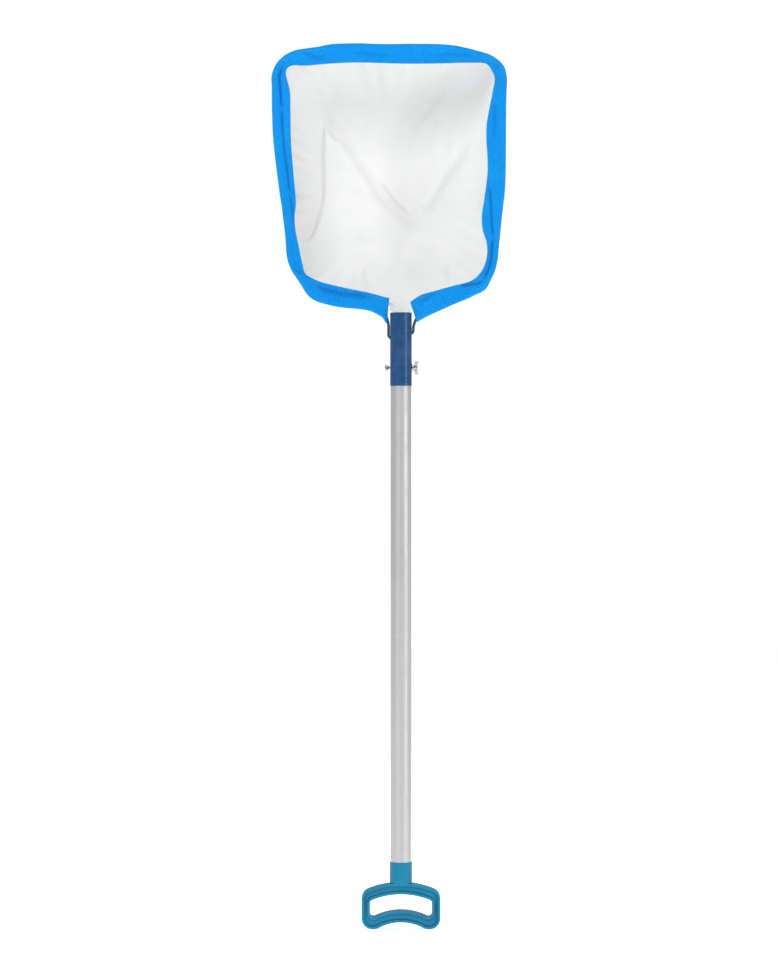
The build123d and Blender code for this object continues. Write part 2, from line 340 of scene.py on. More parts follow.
class Graph:
    """A node tree under construction."""

    def __init__(self, tree: bpy.types.NodeTree) -> None:
        """Starts on an empty tree."""
        self.tree = tree

    def add(self, kind: str, **settings: object) -> bpy.types.Node:
        """Adds a node and sets its properties."""
        node = self.tree.nodes.new(kind)
        for name, value in settings.items():
            setattr(node, name, value)
        return node

    def feed(self, value: object, socket: bpy.types.NodeSocket) -> None:
        """Links an output to a socket, or sets the socket to a plain value."""
        if isinstance(value, bpy.types.NodeSocket):
            self.tree.links.new(value, socket)
        else:
            socket.default_value = value

    def maths(self, operation: str, *values: object) -> bpy.types.NodeSocket:
        """A sum on numbers, such as ADD or MULTIPLY."""
        node = self.add("ShaderNodeMath", operation=operation)
        for value, socket in zip(values, node.inputs):
            self.feed(value, socket)
        return node.outputs[0]

    def remap(
        self, value: object, low: float, high: float, to_low: float, to_high: float
    ) -> bpy.types.NodeSocket:
        """The value eased from one range into another, and held inside it."""
        node = self.add("ShaderNodeMapRange", interpolation_type="SMOOTHSTEP")
        for given, socket in zip((value, low, high, to_low, to_high), node.inputs):
            self.feed(given, socket)
        return node.outputs[0]

    def blend(self, share: object, first: object, second: object) -> bpy.types.NodeSocket:
        """The first colour, turning into the second as the share goes from 0 to 1."""
        node = self.add("ShaderNodeMix", data_type="RGBA")
        self.feed(share, node.inputs["Factor"])
        self.feed(first, node.inputs["A"])
        self.feed(second, node.inputs["B"])
        return node.outputs["Result"]

    def noise(
        self, place: object, scale: float, detail: float = 2.0, roughness: float = 0.5
    ) -> bpy.types.NodeSocket:
        """Cloudy noise from about 0 to 1, at so many waves a metre."""
        node = self.add("ShaderNodeTexNoise")
        self.feed(place, node.inputs["Vector"])
        node.inputs["Scale"].default_value = scale
        node.inputs["Detail"].default_value = detail
        node.inputs["Roughness"].default_value = roughness
        return node.outputs["Fac"]

    def bump(self, height: object, distance: float, strength: float = 1.0) -> bpy.types.NodeSocket:
        """The normal of a surface raised by a height of so many metres."""
        node = self.add("ShaderNodeBump")
        self.feed(height, node.inputs["Height"])
        node.inputs["Distance"].default_value = distance
        node.inputs["Strength"].default_value = strength
        return node.outputs["Normal"]


def new_group(
    name: str, inputs: dict[str, tuple[str, object]], outputs: dict[str, str]
) -> tuple[Graph, dict, dict]:
    """Starts a node group.

    Args:
        name: the group's name.
        inputs: each input's name, socket type and usual value.
        outputs: each output's name and socket type.

    Returns:
        The graph, its inputs by name, and its outputs by name.
    """
    tree = bpy.data.node_groups.new(name, "ShaderNodeTree")
    for label, (kind, value) in inputs.items():
        socket = tree.interface.new_socket(label, in_out="INPUT", socket_type=kind)
        if value is not None:
            socket.default_value = value
    for label, kind in outputs.items():
        tree.interface.new_socket(label, in_out="OUTPUT", socket_type=kind)
    graph = Graph(tree)
    given, result = graph.add("NodeGroupInput"), graph.add("NodeGroupOutput")
    return graph, {s.name: s for s in given.outputs}, {s.name: s for s in result.inputs}


class Effects:
    """The effects that several finishes share, each a node group made once."""

    def __init__(self) -> None:
        """Makes the groups."""
        self.weave = self._weave()
        self.grain = self._grain()
        self.edge_wear = self._edge_wear()
        self.dust = self._dust()
        self.crevice_shade = self._crevice_shade()

    @staticmethod
    def _weave() -> bpy.types.NodeTree:
        """Plain weave. Threads run both ways, and each is on top where the product of two waves,
        one across each set of threads, is positive. Height is the product's size, so that it sinks
        between threads; Top says which set is on top; Hole is 1 in the gaps between four threads."""
        graph, given, result = new_group(
            "weave",
            {"Place": ("NodeSocketVector", None), "Threads per metre": ("NodeSocketFloat", 900.0),
             "Slack": ("NodeSocketFloat", 0.1)},
            {"Height": "NodeSocketFloat", "Top": "NodeSocketFloat", "Hole": "NodeSocketFloat"},
        )
        wander = graph.add("ShaderNodeTexNoise")
        graph.feed(given["Place"], wander.inputs["Vector"])
        wander.inputs["Scale"].default_value = 60.0
        shift = graph.add("ShaderNodeVectorMath", operation="SCALE")
        graph.feed(wander.outputs["Color"], shift.inputs[0])
        graph.feed(graph.maths("MULTIPLY", given["Slack"], 0.01), shift.inputs["Scale"])
        moved = graph.add("ShaderNodeVectorMath", operation="ADD")
        graph.feed(given["Place"], moved.inputs[0])
        graph.feed(shift.outputs[0], moved.inputs[1])
        axes = graph.add("ShaderNodeSeparateXYZ")
        graph.feed(moved.outputs[0], axes.inputs[0])
        turns = graph.maths("MULTIPLY", given["Threads per metre"], math.pi)
        first = graph.maths("SINE", graph.maths("MULTIPLY", axes.outputs[0], turns))
        second = graph.maths("SINE", graph.maths("MULTIPLY", axes.outputs[1], turns))
        product = graph.maths("MULTIPLY", first, second)
        graph.feed(graph.maths("POWER", graph.maths("ABSOLUTE", product), 0.5), result["Height"])
        graph.feed(graph.remap(product, -0.35, 0.35, 0.0, 1.0), result["Top"])
        wide = graph.maths("MULTIPLY", graph.maths("ABSOLUTE", first), graph.maths("ABSOLUTE", second))
        graph.feed(graph.remap(wide, 0.42, 0.68, 0.0, 1.0), result["Hole"])
        return graph.tree

    @staticmethod
    def _grain() -> bpy.types.NodeTree:
        """Uneven grain: broad clouds and fine specks of noise, stretched along each axis as asked."""
        graph, given, result = new_group(
            "grain",
            {"Place": ("NodeSocketVector", None), "Stretch": ("NodeSocketVector", (1.0, 1.0, 1.0)),
             "Broad": ("NodeSocketFloat", 25.0), "Fine": ("NodeSocketFloat", 900.0)},
            {"Clouds": "NodeSocketFloat", "Specks": "NodeSocketFloat"},
        )
        scaled = graph.add("ShaderNodeVectorMath", operation="MULTIPLY")
        graph.feed(given["Place"], scaled.inputs[0])
        graph.feed(given["Stretch"], scaled.inputs[1])
        for rate, label, detail in (("Broad", "Clouds", 4.0), ("Fine", "Specks", 2.0)):
            node = graph.add("ShaderNodeTexNoise")
            graph.feed(scaled.outputs[0], node.inputs["Vector"])
            graph.feed(given[rate], node.inputs["Scale"])
            node.inputs["Detail"].default_value = detail
            graph.feed(node.outputs["Fac"], result[label])
        return graph.tree

    @staticmethod
    def _edge_wear() -> bpy.types.NodeTree:
        """Wear that starts at two heights and fades over a reach, broken up by noise."""
        graph, given, result = new_group(
            "edge_wear",
            {"Place": ("NodeSocketVector", None), "Low": ("NodeSocketFloat", 0.0),
             "High": ("NodeSocketFloat", 1.0), "Reach": ("NodeSocketFloat", 0.003)},
            {"Mask": "NodeSocketFloat"},
        )
        axes = graph.add("ShaderNodeSeparateXYZ")
        graph.feed(given["Place"], axes.inputs[0])
        from_low = graph.maths("ABSOLUTE", graph.maths("SUBTRACT", axes.outputs[2], given["Low"]))
        from_high = graph.maths("ABSOLUTE", graph.maths("SUBTRACT", axes.outputs[2], given["High"]))
        nearest = graph.maths("DIVIDE", graph.maths("MINIMUM", from_low, from_high), given["Reach"])
        chips = graph.noise(given["Place"], 420.0, 4.0)
        broken = graph.maths("ADD", nearest, graph.remap(chips, 0.3, 0.7, -0.1, 1.0))
        graph.feed(graph.remap(broken, 0.25, 0.7, 1.0, 0.0), result["Mask"])
        return graph.tree

    @staticmethod
    def _dust() -> bpy.types.NodeTree:
        """Dust and water marks: it settles on what faces up, and lies in soft patches."""
        graph, given, result = new_group(
            "dust",
            {"Place": ("NodeSocketVector", None), "Amount": ("NodeSocketFloat", 0.3)},
            {"Mask": "NodeSocketFloat"},
        )
        facing = graph.add("ShaderNodeSeparateXYZ")
        graph.feed(graph.add("ShaderNodeNewGeometry").outputs["Normal"], facing.inputs[0])
        upward = graph.remap(facing.outputs[2], -0.2, 1.0, 0.35, 1.0)
        patches = graph.remap(graph.noise(given["Place"], 38.0, 6.0, 0.6), 0.42, 0.72, 0.0, 1.0)
        settled = graph.maths("MULTIPLY", upward, patches)
        graph.feed(graph.maths("MULTIPLY", settled, given["Amount"]), result["Mask"])
        return graph.tree


    @staticmethod
    def _crevice_shade() -> bpy.types.NodeTree:
        """Painted shade in inside corners: it grows with the share of the sky above a point that
        the piece itself hides within a short reach."""
        graph, given, result = new_group(
            "crevice_shade",
            {"Reach": ("NodeSocketFloat", 0.003), "Amount": ("NodeSocketFloat", 0.5)},
            {"Mask": "NodeSocketFloat"},
        )
        # painted shade: ambient occlusion turned into a darkening mask
        hidden = graph.add("ShaderNodeAmbientOcclusion", samples=12, only_local=True)
        graph.feed(given["Reach"], hidden.inputs["Distance"])
        deep = graph.remap(hidden.outputs["AO"], 0.42, 0.9, 1.0, 0.0)
        graph.feed(graph.maths("MULTIPLY", deep, given["Amount"]), result["Mask"])
        return graph.tree


@dataclass(frozen=True)
class Finish:
    """What every finish has.

    Attributes:
        name: the material's name.
        effects: the shared node groups.
    """

    name: str
    effects: Effects

    def start(
        self, roughness: float, **constants: object
    ) -> tuple[Graph, bpy.types.Node, bpy.types.Material]:
        """Makes the material with its shader and its plain settings.

        Args:
            roughness: the usual roughness.
            constants: other sockets of the shader, with _ for a space.

        Returns:
            The graph, the shader and the material.
        """
        material = bpy.data.materials.new(self.name)
        material.use_nodes = True
        graph = Graph(material.node_tree)
        shader = material.node_tree.nodes["Principled BSDF"]
        shader.inputs["Roughness"].default_value = roughness
        for label, value in constants.items():
            shader.inputs[label.replace("_", " ")].default_value = value
        return graph, shader, material

    @staticmethod
    def place(graph: Graph) -> bpy.types.NodeSocket:
        """Coordinates in metres that stay with the piece."""
        return graph.add("ShaderNodeTexCoord").outputs["Object"]

    @staticmethod
    def use(graph: Graph, group: bpy.types.NodeTree, **values: object) -> bpy.types.Node:
        """Places a shared effect with its own values, with _ for a space in a name."""
        node = graph.add("ShaderNodeGroup", node_tree=group)
        for label, value in values.items():
            graph.feed(value, node.inputs[label.replace("_", " ")])
        return node


@dataclass(frozen=True)
class MouldedPlastic(Finish):
    """Teal plastic as it leaves the mould: a satin skin, faint flow clouds, a parting line, and a
    grip bar rubbed smoother than the rest.

    Attributes:
        light, deep: the two tints between which the colour wanders.
        grip_top: the height below which hands polish it.
    """

    light: tuple
    deep: tuple
    grip_top: float

    def build(self) -> bpy.types.Material:
        """Makes the material."""
        graph, shader, material = self.start(
            0.36, Specular_IOR_Level=0.22, Coat_Weight=0.05, Coat_Roughness=0.16)
        place = self.place(graph)
        grain = self.use(graph, self.effects.grain, Place=place, Broad=34.0, Fine=1500.0, Stretch=EVEN)
        dust = self.use(graph, self.effects.dust, Place=place, Amount=0.1)
        tint = graph.blend(graph.remap(grain.outputs["Clouds"], 0.3, 0.7, 0.0, 1.0), self.light, self.deep)
        tint = graph.blend(dust.outputs["Mask"], tint, srgb(150, 182, 190))
        # painted shade: the plastic turns deep teal in the grip's grooves and inside corners
        corner_shade = self.use(graph, self.effects.crevice_shade, Reach=0.0034, Amount=0.9)
        graph.feed(graph.blend(corner_shade.outputs["Mask"], tint, srgb(0, 50, 84)), shader.inputs["Base Color"])
        axes = graph.add("ShaderNodeSeparateXYZ")
        graph.feed(place, axes.inputs[0])
        rubbed = graph.remap(axes.outputs[2], self.grip_top, self.grip_top + 0.02, -0.08, 0.0)
        uneven = graph.remap(grain.outputs["Clouds"], 0.3, 0.7, 0.31, 0.42)
        graph.feed(graph.maths("ADD", uneven, rubbed), shader.inputs["Roughness"])
        parting = graph.remap(graph.maths("ABSOLUTE", axes.outputs[1]), 0.0, 0.00022, 1.0, 0.0)
        height = graph.maths("ADD", graph.maths("MULTIPLY", grain.outputs["Specks"], 0.35), parting)
        graph.feed(graph.bump(height, 0.00006), shader.inputs["Normal"])
        return material


@dataclass(frozen=True)
class DrawnAluminium(Finish):
    """Aluminium tube drawn lengthwise and anodised matt: fine lines along it, paler and darker
    streaks, scuffs, and rubbed rings where its sections meet.

    Attributes:
        colour, streak: the two greys.
        joint, end: the heights at which it is rubbed.
    """

    colour: tuple
    streak: tuple
    joint: float
    end: float

    def build(self) -> bpy.types.Material:
        """Makes the material."""
        graph, shader, material = self.start(0.5)
        place = self.place(graph)
        lines = self.use(
            graph, self.effects.grain, Place=place, Broad=160.0, Fine=1400.0, Stretch=(1.0, 1.0, 0.012))
        scuffs = self.use(
            graph, self.effects.grain, Place=place, Broad=60.0, Fine=700.0, Stretch=(1.0, 1.0, 0.6))
        wear = self.use(
            graph, self.effects.edge_wear, Place=place, Low=self.joint, High=self.end, Reach=0.006)
        streaks = graph.remap(lines.outputs["Clouds"], 0.35, 0.68, 0.0, 1.0)
        colour = graph.blend(streaks, self.colour, self.streak)
        worn = graph.maths("MULTIPLY", wear.outputs["Mask"], 0.25)
        graph.feed(graph.blend(worn, colour, srgb(226, 227, 229)), shader.inputs["Base Color"])
        shader.inputs["Metallic"].default_value = 0.7
        rough = graph.remap(scuffs.outputs["Clouds"], 0.35, 0.75, 0.44, 0.56)
        graph.feed(graph.maths("SUBTRACT", rough, graph.maths("MULTIPLY", wear.outputs["Mask"], 0.1)),
                   shader.inputs["Roughness"])
        graph.feed(graph.bump(lines.outputs["Specks"], 0.00001, 0.4), shader.inputs["Normal"])
        return material


@dataclass(frozen=True)
class PowderCoat(Finish):
    """Navy powder coat on steel: a slight orange peel, and bright metal and dulled paint where its
    ends have rubbed.

    Attributes:
        colour, faded: the paint, fresh and faded.
        low, high: the heights of the two ends that wear.
    """

    colour: tuple
    faded: tuple
    low: float
    high: float

    def build(self) -> bpy.types.Material:
        """Makes the material."""
        graph, shader, material = self.start(
            0.3, Specular_IOR_Level=0.35, Coat_Weight=0.2, Coat_Roughness=0.2)
        place = self.place(graph)
        peel = self.use(graph, self.effects.grain, Place=place, Broad=70.0, Fine=650.0, Stretch=EVEN)
        wear = self.use(
            graph, self.effects.edge_wear, Place=place, Low=self.low, High=self.high, Reach=0.0016)
        dust = self.use(graph, self.effects.dust, Place=place, Amount=0.16)
        paint = graph.blend(graph.remap(peel.outputs["Clouds"], 0.4, 0.72, 0.0, 1.0), self.colour, self.faded)
        paint = graph.blend(dust.outputs["Mask"], paint, srgb(120, 140, 165))
        bare = graph.maths("MULTIPLY", wear.outputs["Mask"], 0.7)
        # painted shade: the paint turns darker navy in inside corners
        corner_shade = self.use(graph, self.effects.crevice_shade, Reach=0.003, Amount=0.6)
        paint = graph.blend(corner_shade.outputs["Mask"], paint, srgb(6, 30, 60))
        graph.feed(graph.blend(bare, paint, srgb(150, 152, 160)), shader.inputs["Base Color"])
        graph.feed(graph.maths("MULTIPLY", bare, 0.9), shader.inputs["Metallic"])
        graph.feed(graph.remap(peel.outputs["Clouds"], 0.3, 0.7, 0.26, 0.38), shader.inputs["Roughness"])
        graph.feed(graph.bump(peel.outputs["Specks"], 0.00005), shader.inputs["Normal"])
        return material


@dataclass(frozen=True)
class ZincPlate(Finish):
    """Bright zinc plate on small hardware, with dull cloudy patches and painted shade in its inside corners.
    """

    def build(self) -> bpy.types.Material:
        """Makes the material."""
        graph, shader, material = self.start(0.28)
        place = self.place(graph)
        grain = self.use(graph, self.effects.grain, Place=place, Broad=420.0, Fine=3200.0, Stretch=EVEN)
        clouds = graph.remap(grain.outputs["Clouds"], 0.4, 0.7, 0.0, 1.0)
        plate = graph.blend(graph.maths("MULTIPLY", clouds, 0.6), srgb(184, 184, 188), srgb(124, 122, 120))
        # painted shade: the plating turns dark brown-grey in inside corners
        corner_shade = self.use(graph, self.effects.crevice_shade, Reach=0.0012, Amount=0.7)
        graph.feed(graph.blend(corner_shade.outputs["Mask"], plate, srgb(60, 54, 48)), shader.inputs["Base Color"])
        shader.inputs["Metallic"].default_value = 1.0
        graph.feed(graph.remap(grain.outputs["Clouds"], 0.35, 0.7, 0.2, 0.42), shader.inputs["Roughness"])
        graph.feed(graph.bump(grain.outputs["Specks"], 0.00003), shader.inputs["Normal"])
        return material


@dataclass(frozen=True)
class WovenPolyester(Finish):
    """The hem's cloth: coarse plain weave in bright blue, with painted shade along its creases, speckled
    where threads lie on top, and faded in patches by the sun.

    Attributes:
        lit, shade, faded: the cloth's blues.
        threads: threads a metre.
    """

    lit: tuple
    shade: tuple
    faded: tuple
    threads: float

    def build(self) -> bpy.types.Material:
        """Makes the material."""
        graph, shader, material = self.start(
            0.7, Specular_IOR_Level=0.12, Sheen_Weight=0.03, Sheen_Roughness=0.4)
        pattern = graph.add("ShaderNodeUVMap", uv_map="cloth").outputs[0]
        weave = self.use(graph, self.effects.weave, Place=pattern, Threads_per_metre=self.threads, Slack=0.12)
        grain = self.use(graph, self.effects.grain, Place=pattern, Broad=26.0, Fine=430.0, Stretch=EVEN)
        crease = graph.add("ShaderNodeAttribute", attribute_name="crease").outputs["Fac"]
        tone = graph.blend(graph.remap(grain.outputs["Clouds"], 0.42, 0.72, 0.0, 0.75), self.lit, self.faded)
        tone = graph.blend(graph.remap(grain.outputs["Specks"], 0.36, 0.6, 0.62, 0.0), tone, self.shade)
        tone = graph.blend(graph.maths("MULTIPLY", weave.outputs["Top"], 0.4), tone, self.shade)
        # painted shade: the cloth turns deep blue along its creases, from the crease attribute
        graph.feed(graph.blend(crease, tone, srgb(0, 78, 168)), shader.inputs["Base Color"])
        rough = graph.remap(weave.outputs["Height"], 0.0, 1.0, 0.74, 0.52)
        graph.feed(rough, shader.inputs["Roughness"])
        fuzz = graph.maths("MULTIPLY", grain.outputs["Specks"], 0.6)
        height = graph.maths("ADD", weave.outputs["Height"], fuzz)
        graph.feed(graph.bump(height, 0.00028), shader.inputs["Normal"])
        return material


@dataclass(frozen=True)
class TwistedThread(Finish):
    """Polyester sewing thread: fine slanting plies.

    Attributes:
        colour, painted_shade: the thread, and the painted shade in the groove between its plies.
    """

    colour: tuple
    painted_shade: tuple

    def build(self) -> bpy.types.Material:
        """Makes the material."""
        graph, shader, material = self.start(0.55, Specular_IOR_Level=0.2, Sheen_Weight=0.05)
        place = self.place(graph)
        plies = graph.add("ShaderNodeTexWave", bands_direction="DIAGONAL")
        graph.feed(place, plies.inputs["Vector"])
        plies.inputs["Scale"].default_value = 420.0
        plies.inputs["Distortion"].default_value = 1.5
        grain = self.use(graph, self.effects.grain, Place=place, Broad=90.0, Fine=1800.0, Stretch=EVEN)
        worn = graph.remap(grain.outputs["Clouds"], 0.4, 0.7, 0.0, 0.35)
        # painted shade: the groove between the plies is darker
        tone = graph.blend(plies.outputs["Fac"], self.painted_shade, self.colour)
        graph.feed(graph.blend(worn, tone, srgb(120, 190, 240)), shader.inputs["Base Color"])
        graph.feed(graph.remap(grain.outputs["Clouds"], 0.3, 0.7, 0.45, 0.6), shader.inputs["Roughness"])
        graph.feed(graph.bump(plies.outputs["Fac"], 0.0001), shader.inputs["Normal"])
        return material


@dataclass(frozen=True)
class KnittedMesh(Finish):
    """Fine white mesh: threads with small gaps between them, painted shade along its folds, and a
    little grey where water has dried.

    Attributes:
        clean, stained: the mesh's whites.
        threads: threads a metre.
        gap: how much a gap still hides, from 0 to 1.
    """

    clean: tuple
    stained: tuple
    threads: float
    gap: float

    def build(self) -> bpy.types.Material:
        """Makes the material."""
        graph, shader, material = self.start(0.7, Sheen_Weight=0.1)
        pattern = graph.add("ShaderNodeUVMap", uv_map="cloth").outputs[0]
        weave = self.use(graph, self.effects.weave, Place=pattern, Threads_per_metre=self.threads, Slack=0.2)
        grain = self.use(graph, self.effects.grain, Place=pattern, Broad=11.0, Fine=240.0, Stretch=EVEN)
        crease = graph.add("ShaderNodeAttribute", attribute_name="crease").outputs["Fac"]
        marks = graph.remap(grain.outputs["Clouds"], 0.45, 0.75, 0.0, 0.8)
        tone = graph.blend(marks, self.clean, self.stained)
        tone = graph.blend(graph.maths("MULTIPLY", weave.outputs["Top"], 0.07), tone, srgb(205, 206, 208))
        # painted shade: the mesh turns grey along the bag's folds, from the crease attribute
        graph.feed(graph.blend(crease, tone, srgb(196, 197, 199)), shader.inputs["Base Color"])
        graph.feed(graph.remap(weave.outputs["Hole"], 0.0, 1.0, 1.0, self.gap), shader.inputs["Alpha"])
        graph.feed(graph.remap(grain.outputs["Clouds"], 0.3, 0.7, 0.62, 0.78), shader.inputs["Roughness"])
        graph.feed(graph.bump(weave.outputs["Height"], 0.00015), shader.inputs["Normal"])
        return material


# ---------------------------------------------------------------- hard parts


@dataclass
class Handle:
    """The D-shaped grip, moulded in one piece with the socket for the pole.

    Attributes:
        finish: its plastic.
        node: its name in the frame.
    """

    finish: bpy.types.Material
    node: str = "handle"

    def dress(self) -> None:
        """Gives the grip its plastic."""
        dress(self.node, self.finish)


@dataclass
class Pole:
    """The two tube sections, pushed together halfway up.

    Attributes:
        finish: their aluminium.
        nodes: their names in the frame.
    """

    finish: bpy.types.Material
    nodes: tuple[str, str] = ("pole_lower", "pole_upper")

    def dress(self) -> None:
        """Gives both sections their aluminium."""
        for node in self.nodes:
            dress(node, self.finish)


@dataclass
class NetMount:
    """The painted ferrule and the wire hoop that is hooked into it.

    Attributes:
        finish: their paint.
        nodes: their names in the frame.
        wire_radius: the hoop wire's radius.
    """

    finish: bpy.types.Material
    nodes: tuple[str, str] = ("ferrule", "hoop_frame")
    wire_radius: float = 1.9 * MM

    def dress(self) -> None:
        """Gives both parts their paint."""
        for node in self.nodes:
            dress(node, self.finish)

    def wire_line(self) -> np.ndarray:
        """Points all along the middle of the wire.

        Each corner of its skin, moved inwards along its normal by the wire's radius, lies on the
        middle. Points are spread along every side of every face between two such middles, and
        thinned to one in each millimetre cell.
        """
        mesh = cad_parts["hoop_frame"].data
        corners = len(mesh.loops)
        index, normal = np.zeros(corners, np.int32), np.zeros(corners * 3, np.float32)
        mesh.loops.foreach_get("vertex_index", index)
        mesh.corner_normals.foreach_get("vector", normal)
        skin = np.zeros(len(mesh.vertices) * 3, np.float32)
        mesh.vertices.foreach_get("co", skin)
        first, count = np.zeros(len(mesh.polygons), np.int32), np.zeros(len(mesh.polygons), np.int32)
        mesh.polygons.foreach_get("loop_start", first)
        mesh.polygons.foreach_get("loop_total", count)
        following = np.arange(corners) + 1
        following[first + count - 1] = first
        middle = skin.reshape(-1, 3)[index] - normal.reshape(-1, 3) * self.wire_radius
        share = np.linspace(0.0, 1.0, 96)[None, :, None]
        spread = (middle[:, None] * (1 - share) + middle[following][:, None] * share).reshape(-1, 3)
        _, chosen = np.unique(np.round(spread / (1.0 * MM)).astype(int), axis=0, return_index=True)
        return spread[chosen]


def dress(node: str, finish: bpy.types.Material) -> None:
    """Gives a part of the frame its finish, in every material slot that it has."""
    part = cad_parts[node]
    part.data.materials.clear()
    part.data.materials.append(finish)
    for slot in part.material_slots:
        slot.material = finish
    log.info("%s: %s", node, finish.name)


@dataclass
class ClampHardware:
    """The bolt through the ferrule, its washer and its wing nut.

    The bolt is a shape turned about its own axis, with its thread cut by a helix: at each place the
    radius is less by a ridge profile that runs once round for each pitch along.

    Attributes:
        finish: the plating.
        shank_radius, neck_radius: the bolt's two plain radii.
        neck_length, head_height, head_edge: the lengths at its head.
        pitch, thread_depth, thread_length: the thread.
    """

    finish: bpy.types.Material
    shank_radius: float = 2.0 * MM
    neck_radius: float = 2.6 * MM
    neck_length: float = 1.5 * MM
    head_height: float = 3.0 * MM
    head_edge: float = 0.6 * MM
    pitch: float = 0.7 * MM
    thread_depth: float = 0.34 * MM
    thread_length: float = 7.5 * MM

    def bolt(self) -> Surface:
        """The threaded bolt, from its domed head to its tip."""
        low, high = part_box("clamp_bolt")
        head_radius, middle = (high.y - low.y) / 2, (high.z + low.z) / 2
        seat, tip = low.x + self.head_height, high.x
        turn = np.linspace(0, np.pi / 2, 12)
        dome_x = low.x + (self.head_height - self.head_edge) * (1 - np.cos(turn))
        dome_r = head_radius * np.sin(turn)
        dome_r[0] = 0.0
        neck_end = seat + self.neck_length
        plain_rings, thread_rings = 20, 110
        along = np.concatenate([
            dome_x,
            [seat - self.head_edge * 0.3, seat, seat],
            [neck_end - 0.2 * MM, neck_end, neck_end + 0.1 * MM],
            np.linspace(neck_end + 1 * MM, tip - self.thread_length, plain_rings),
            np.linspace(tip - self.thread_length + 0.05 * MM, tip - 0.35 * MM, thread_rings),
            [tip, tip]])
        radius = np.concatenate([
            dome_r,
            [head_radius, head_radius * 0.97],
            [self.neck_radius, self.neck_radius, self.neck_radius * 0.93, self.shank_radius],
            np.full(plain_rings + thread_rings, self.shank_radius),
            [self.shank_radius * 0.72, 0.0]])
        around = np.linspace(0, 2 * np.pi, 36, endpoint=False)
        phase = (along[:, None] - tip) / self.pitch - around / (2 * np.pi)
        ridge = np.abs(2.0 * (phase - np.floor(phase)) - 1.0)
        cut = ease((along - (tip - self.thread_length)) / (1.0 * MM))
        cut *= ease((tip - 0.3 * MM - along) / (0.3 * MM) + 1)
        threaded = radius[:, None] - self.thread_depth * ridge * cut[:, None] * (radius[:, None] > 1.5 * MM)
        points = np.stack([
            np.broadcast_to(along[:, None], threaded.shape),
            threaded * np.cos(around),
            middle + threaded * np.sin(around)], axis=-1)
        return Surface(points, closed_columns=True, turned=True)

    def build(self) -> list[bpy.types.Object]:
        """Makes the bolt, and gives the washer and the nut their plating."""
        bolt = self.bolt().piece("bolt_with_thread", self.finish, merge=True)
        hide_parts("clamp_bolt")
        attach(bolt, Body.BOLT.value)
        for node in ("nut_washer", "wing_nut"):
            dress(node, self.finish)
        return [bolt]


# ---------------------------------------------------------------- hem


@dataclass(frozen=True)
class Crease:
    """A crease or a puff in a cloth.

    Attributes:
        ends: where it starts and ends, each a station along the hem and a share of its width.
        depth: how far it goes in, or out where it is negative.
        width: how wide it is.
        painted_shade: how much painted shade it lays on the cloth along its line.
    """

    ends: tuple[tuple[float, float], tuple[float, float]]
    depth: float
    width: float
    painted_shade: float = 0.0


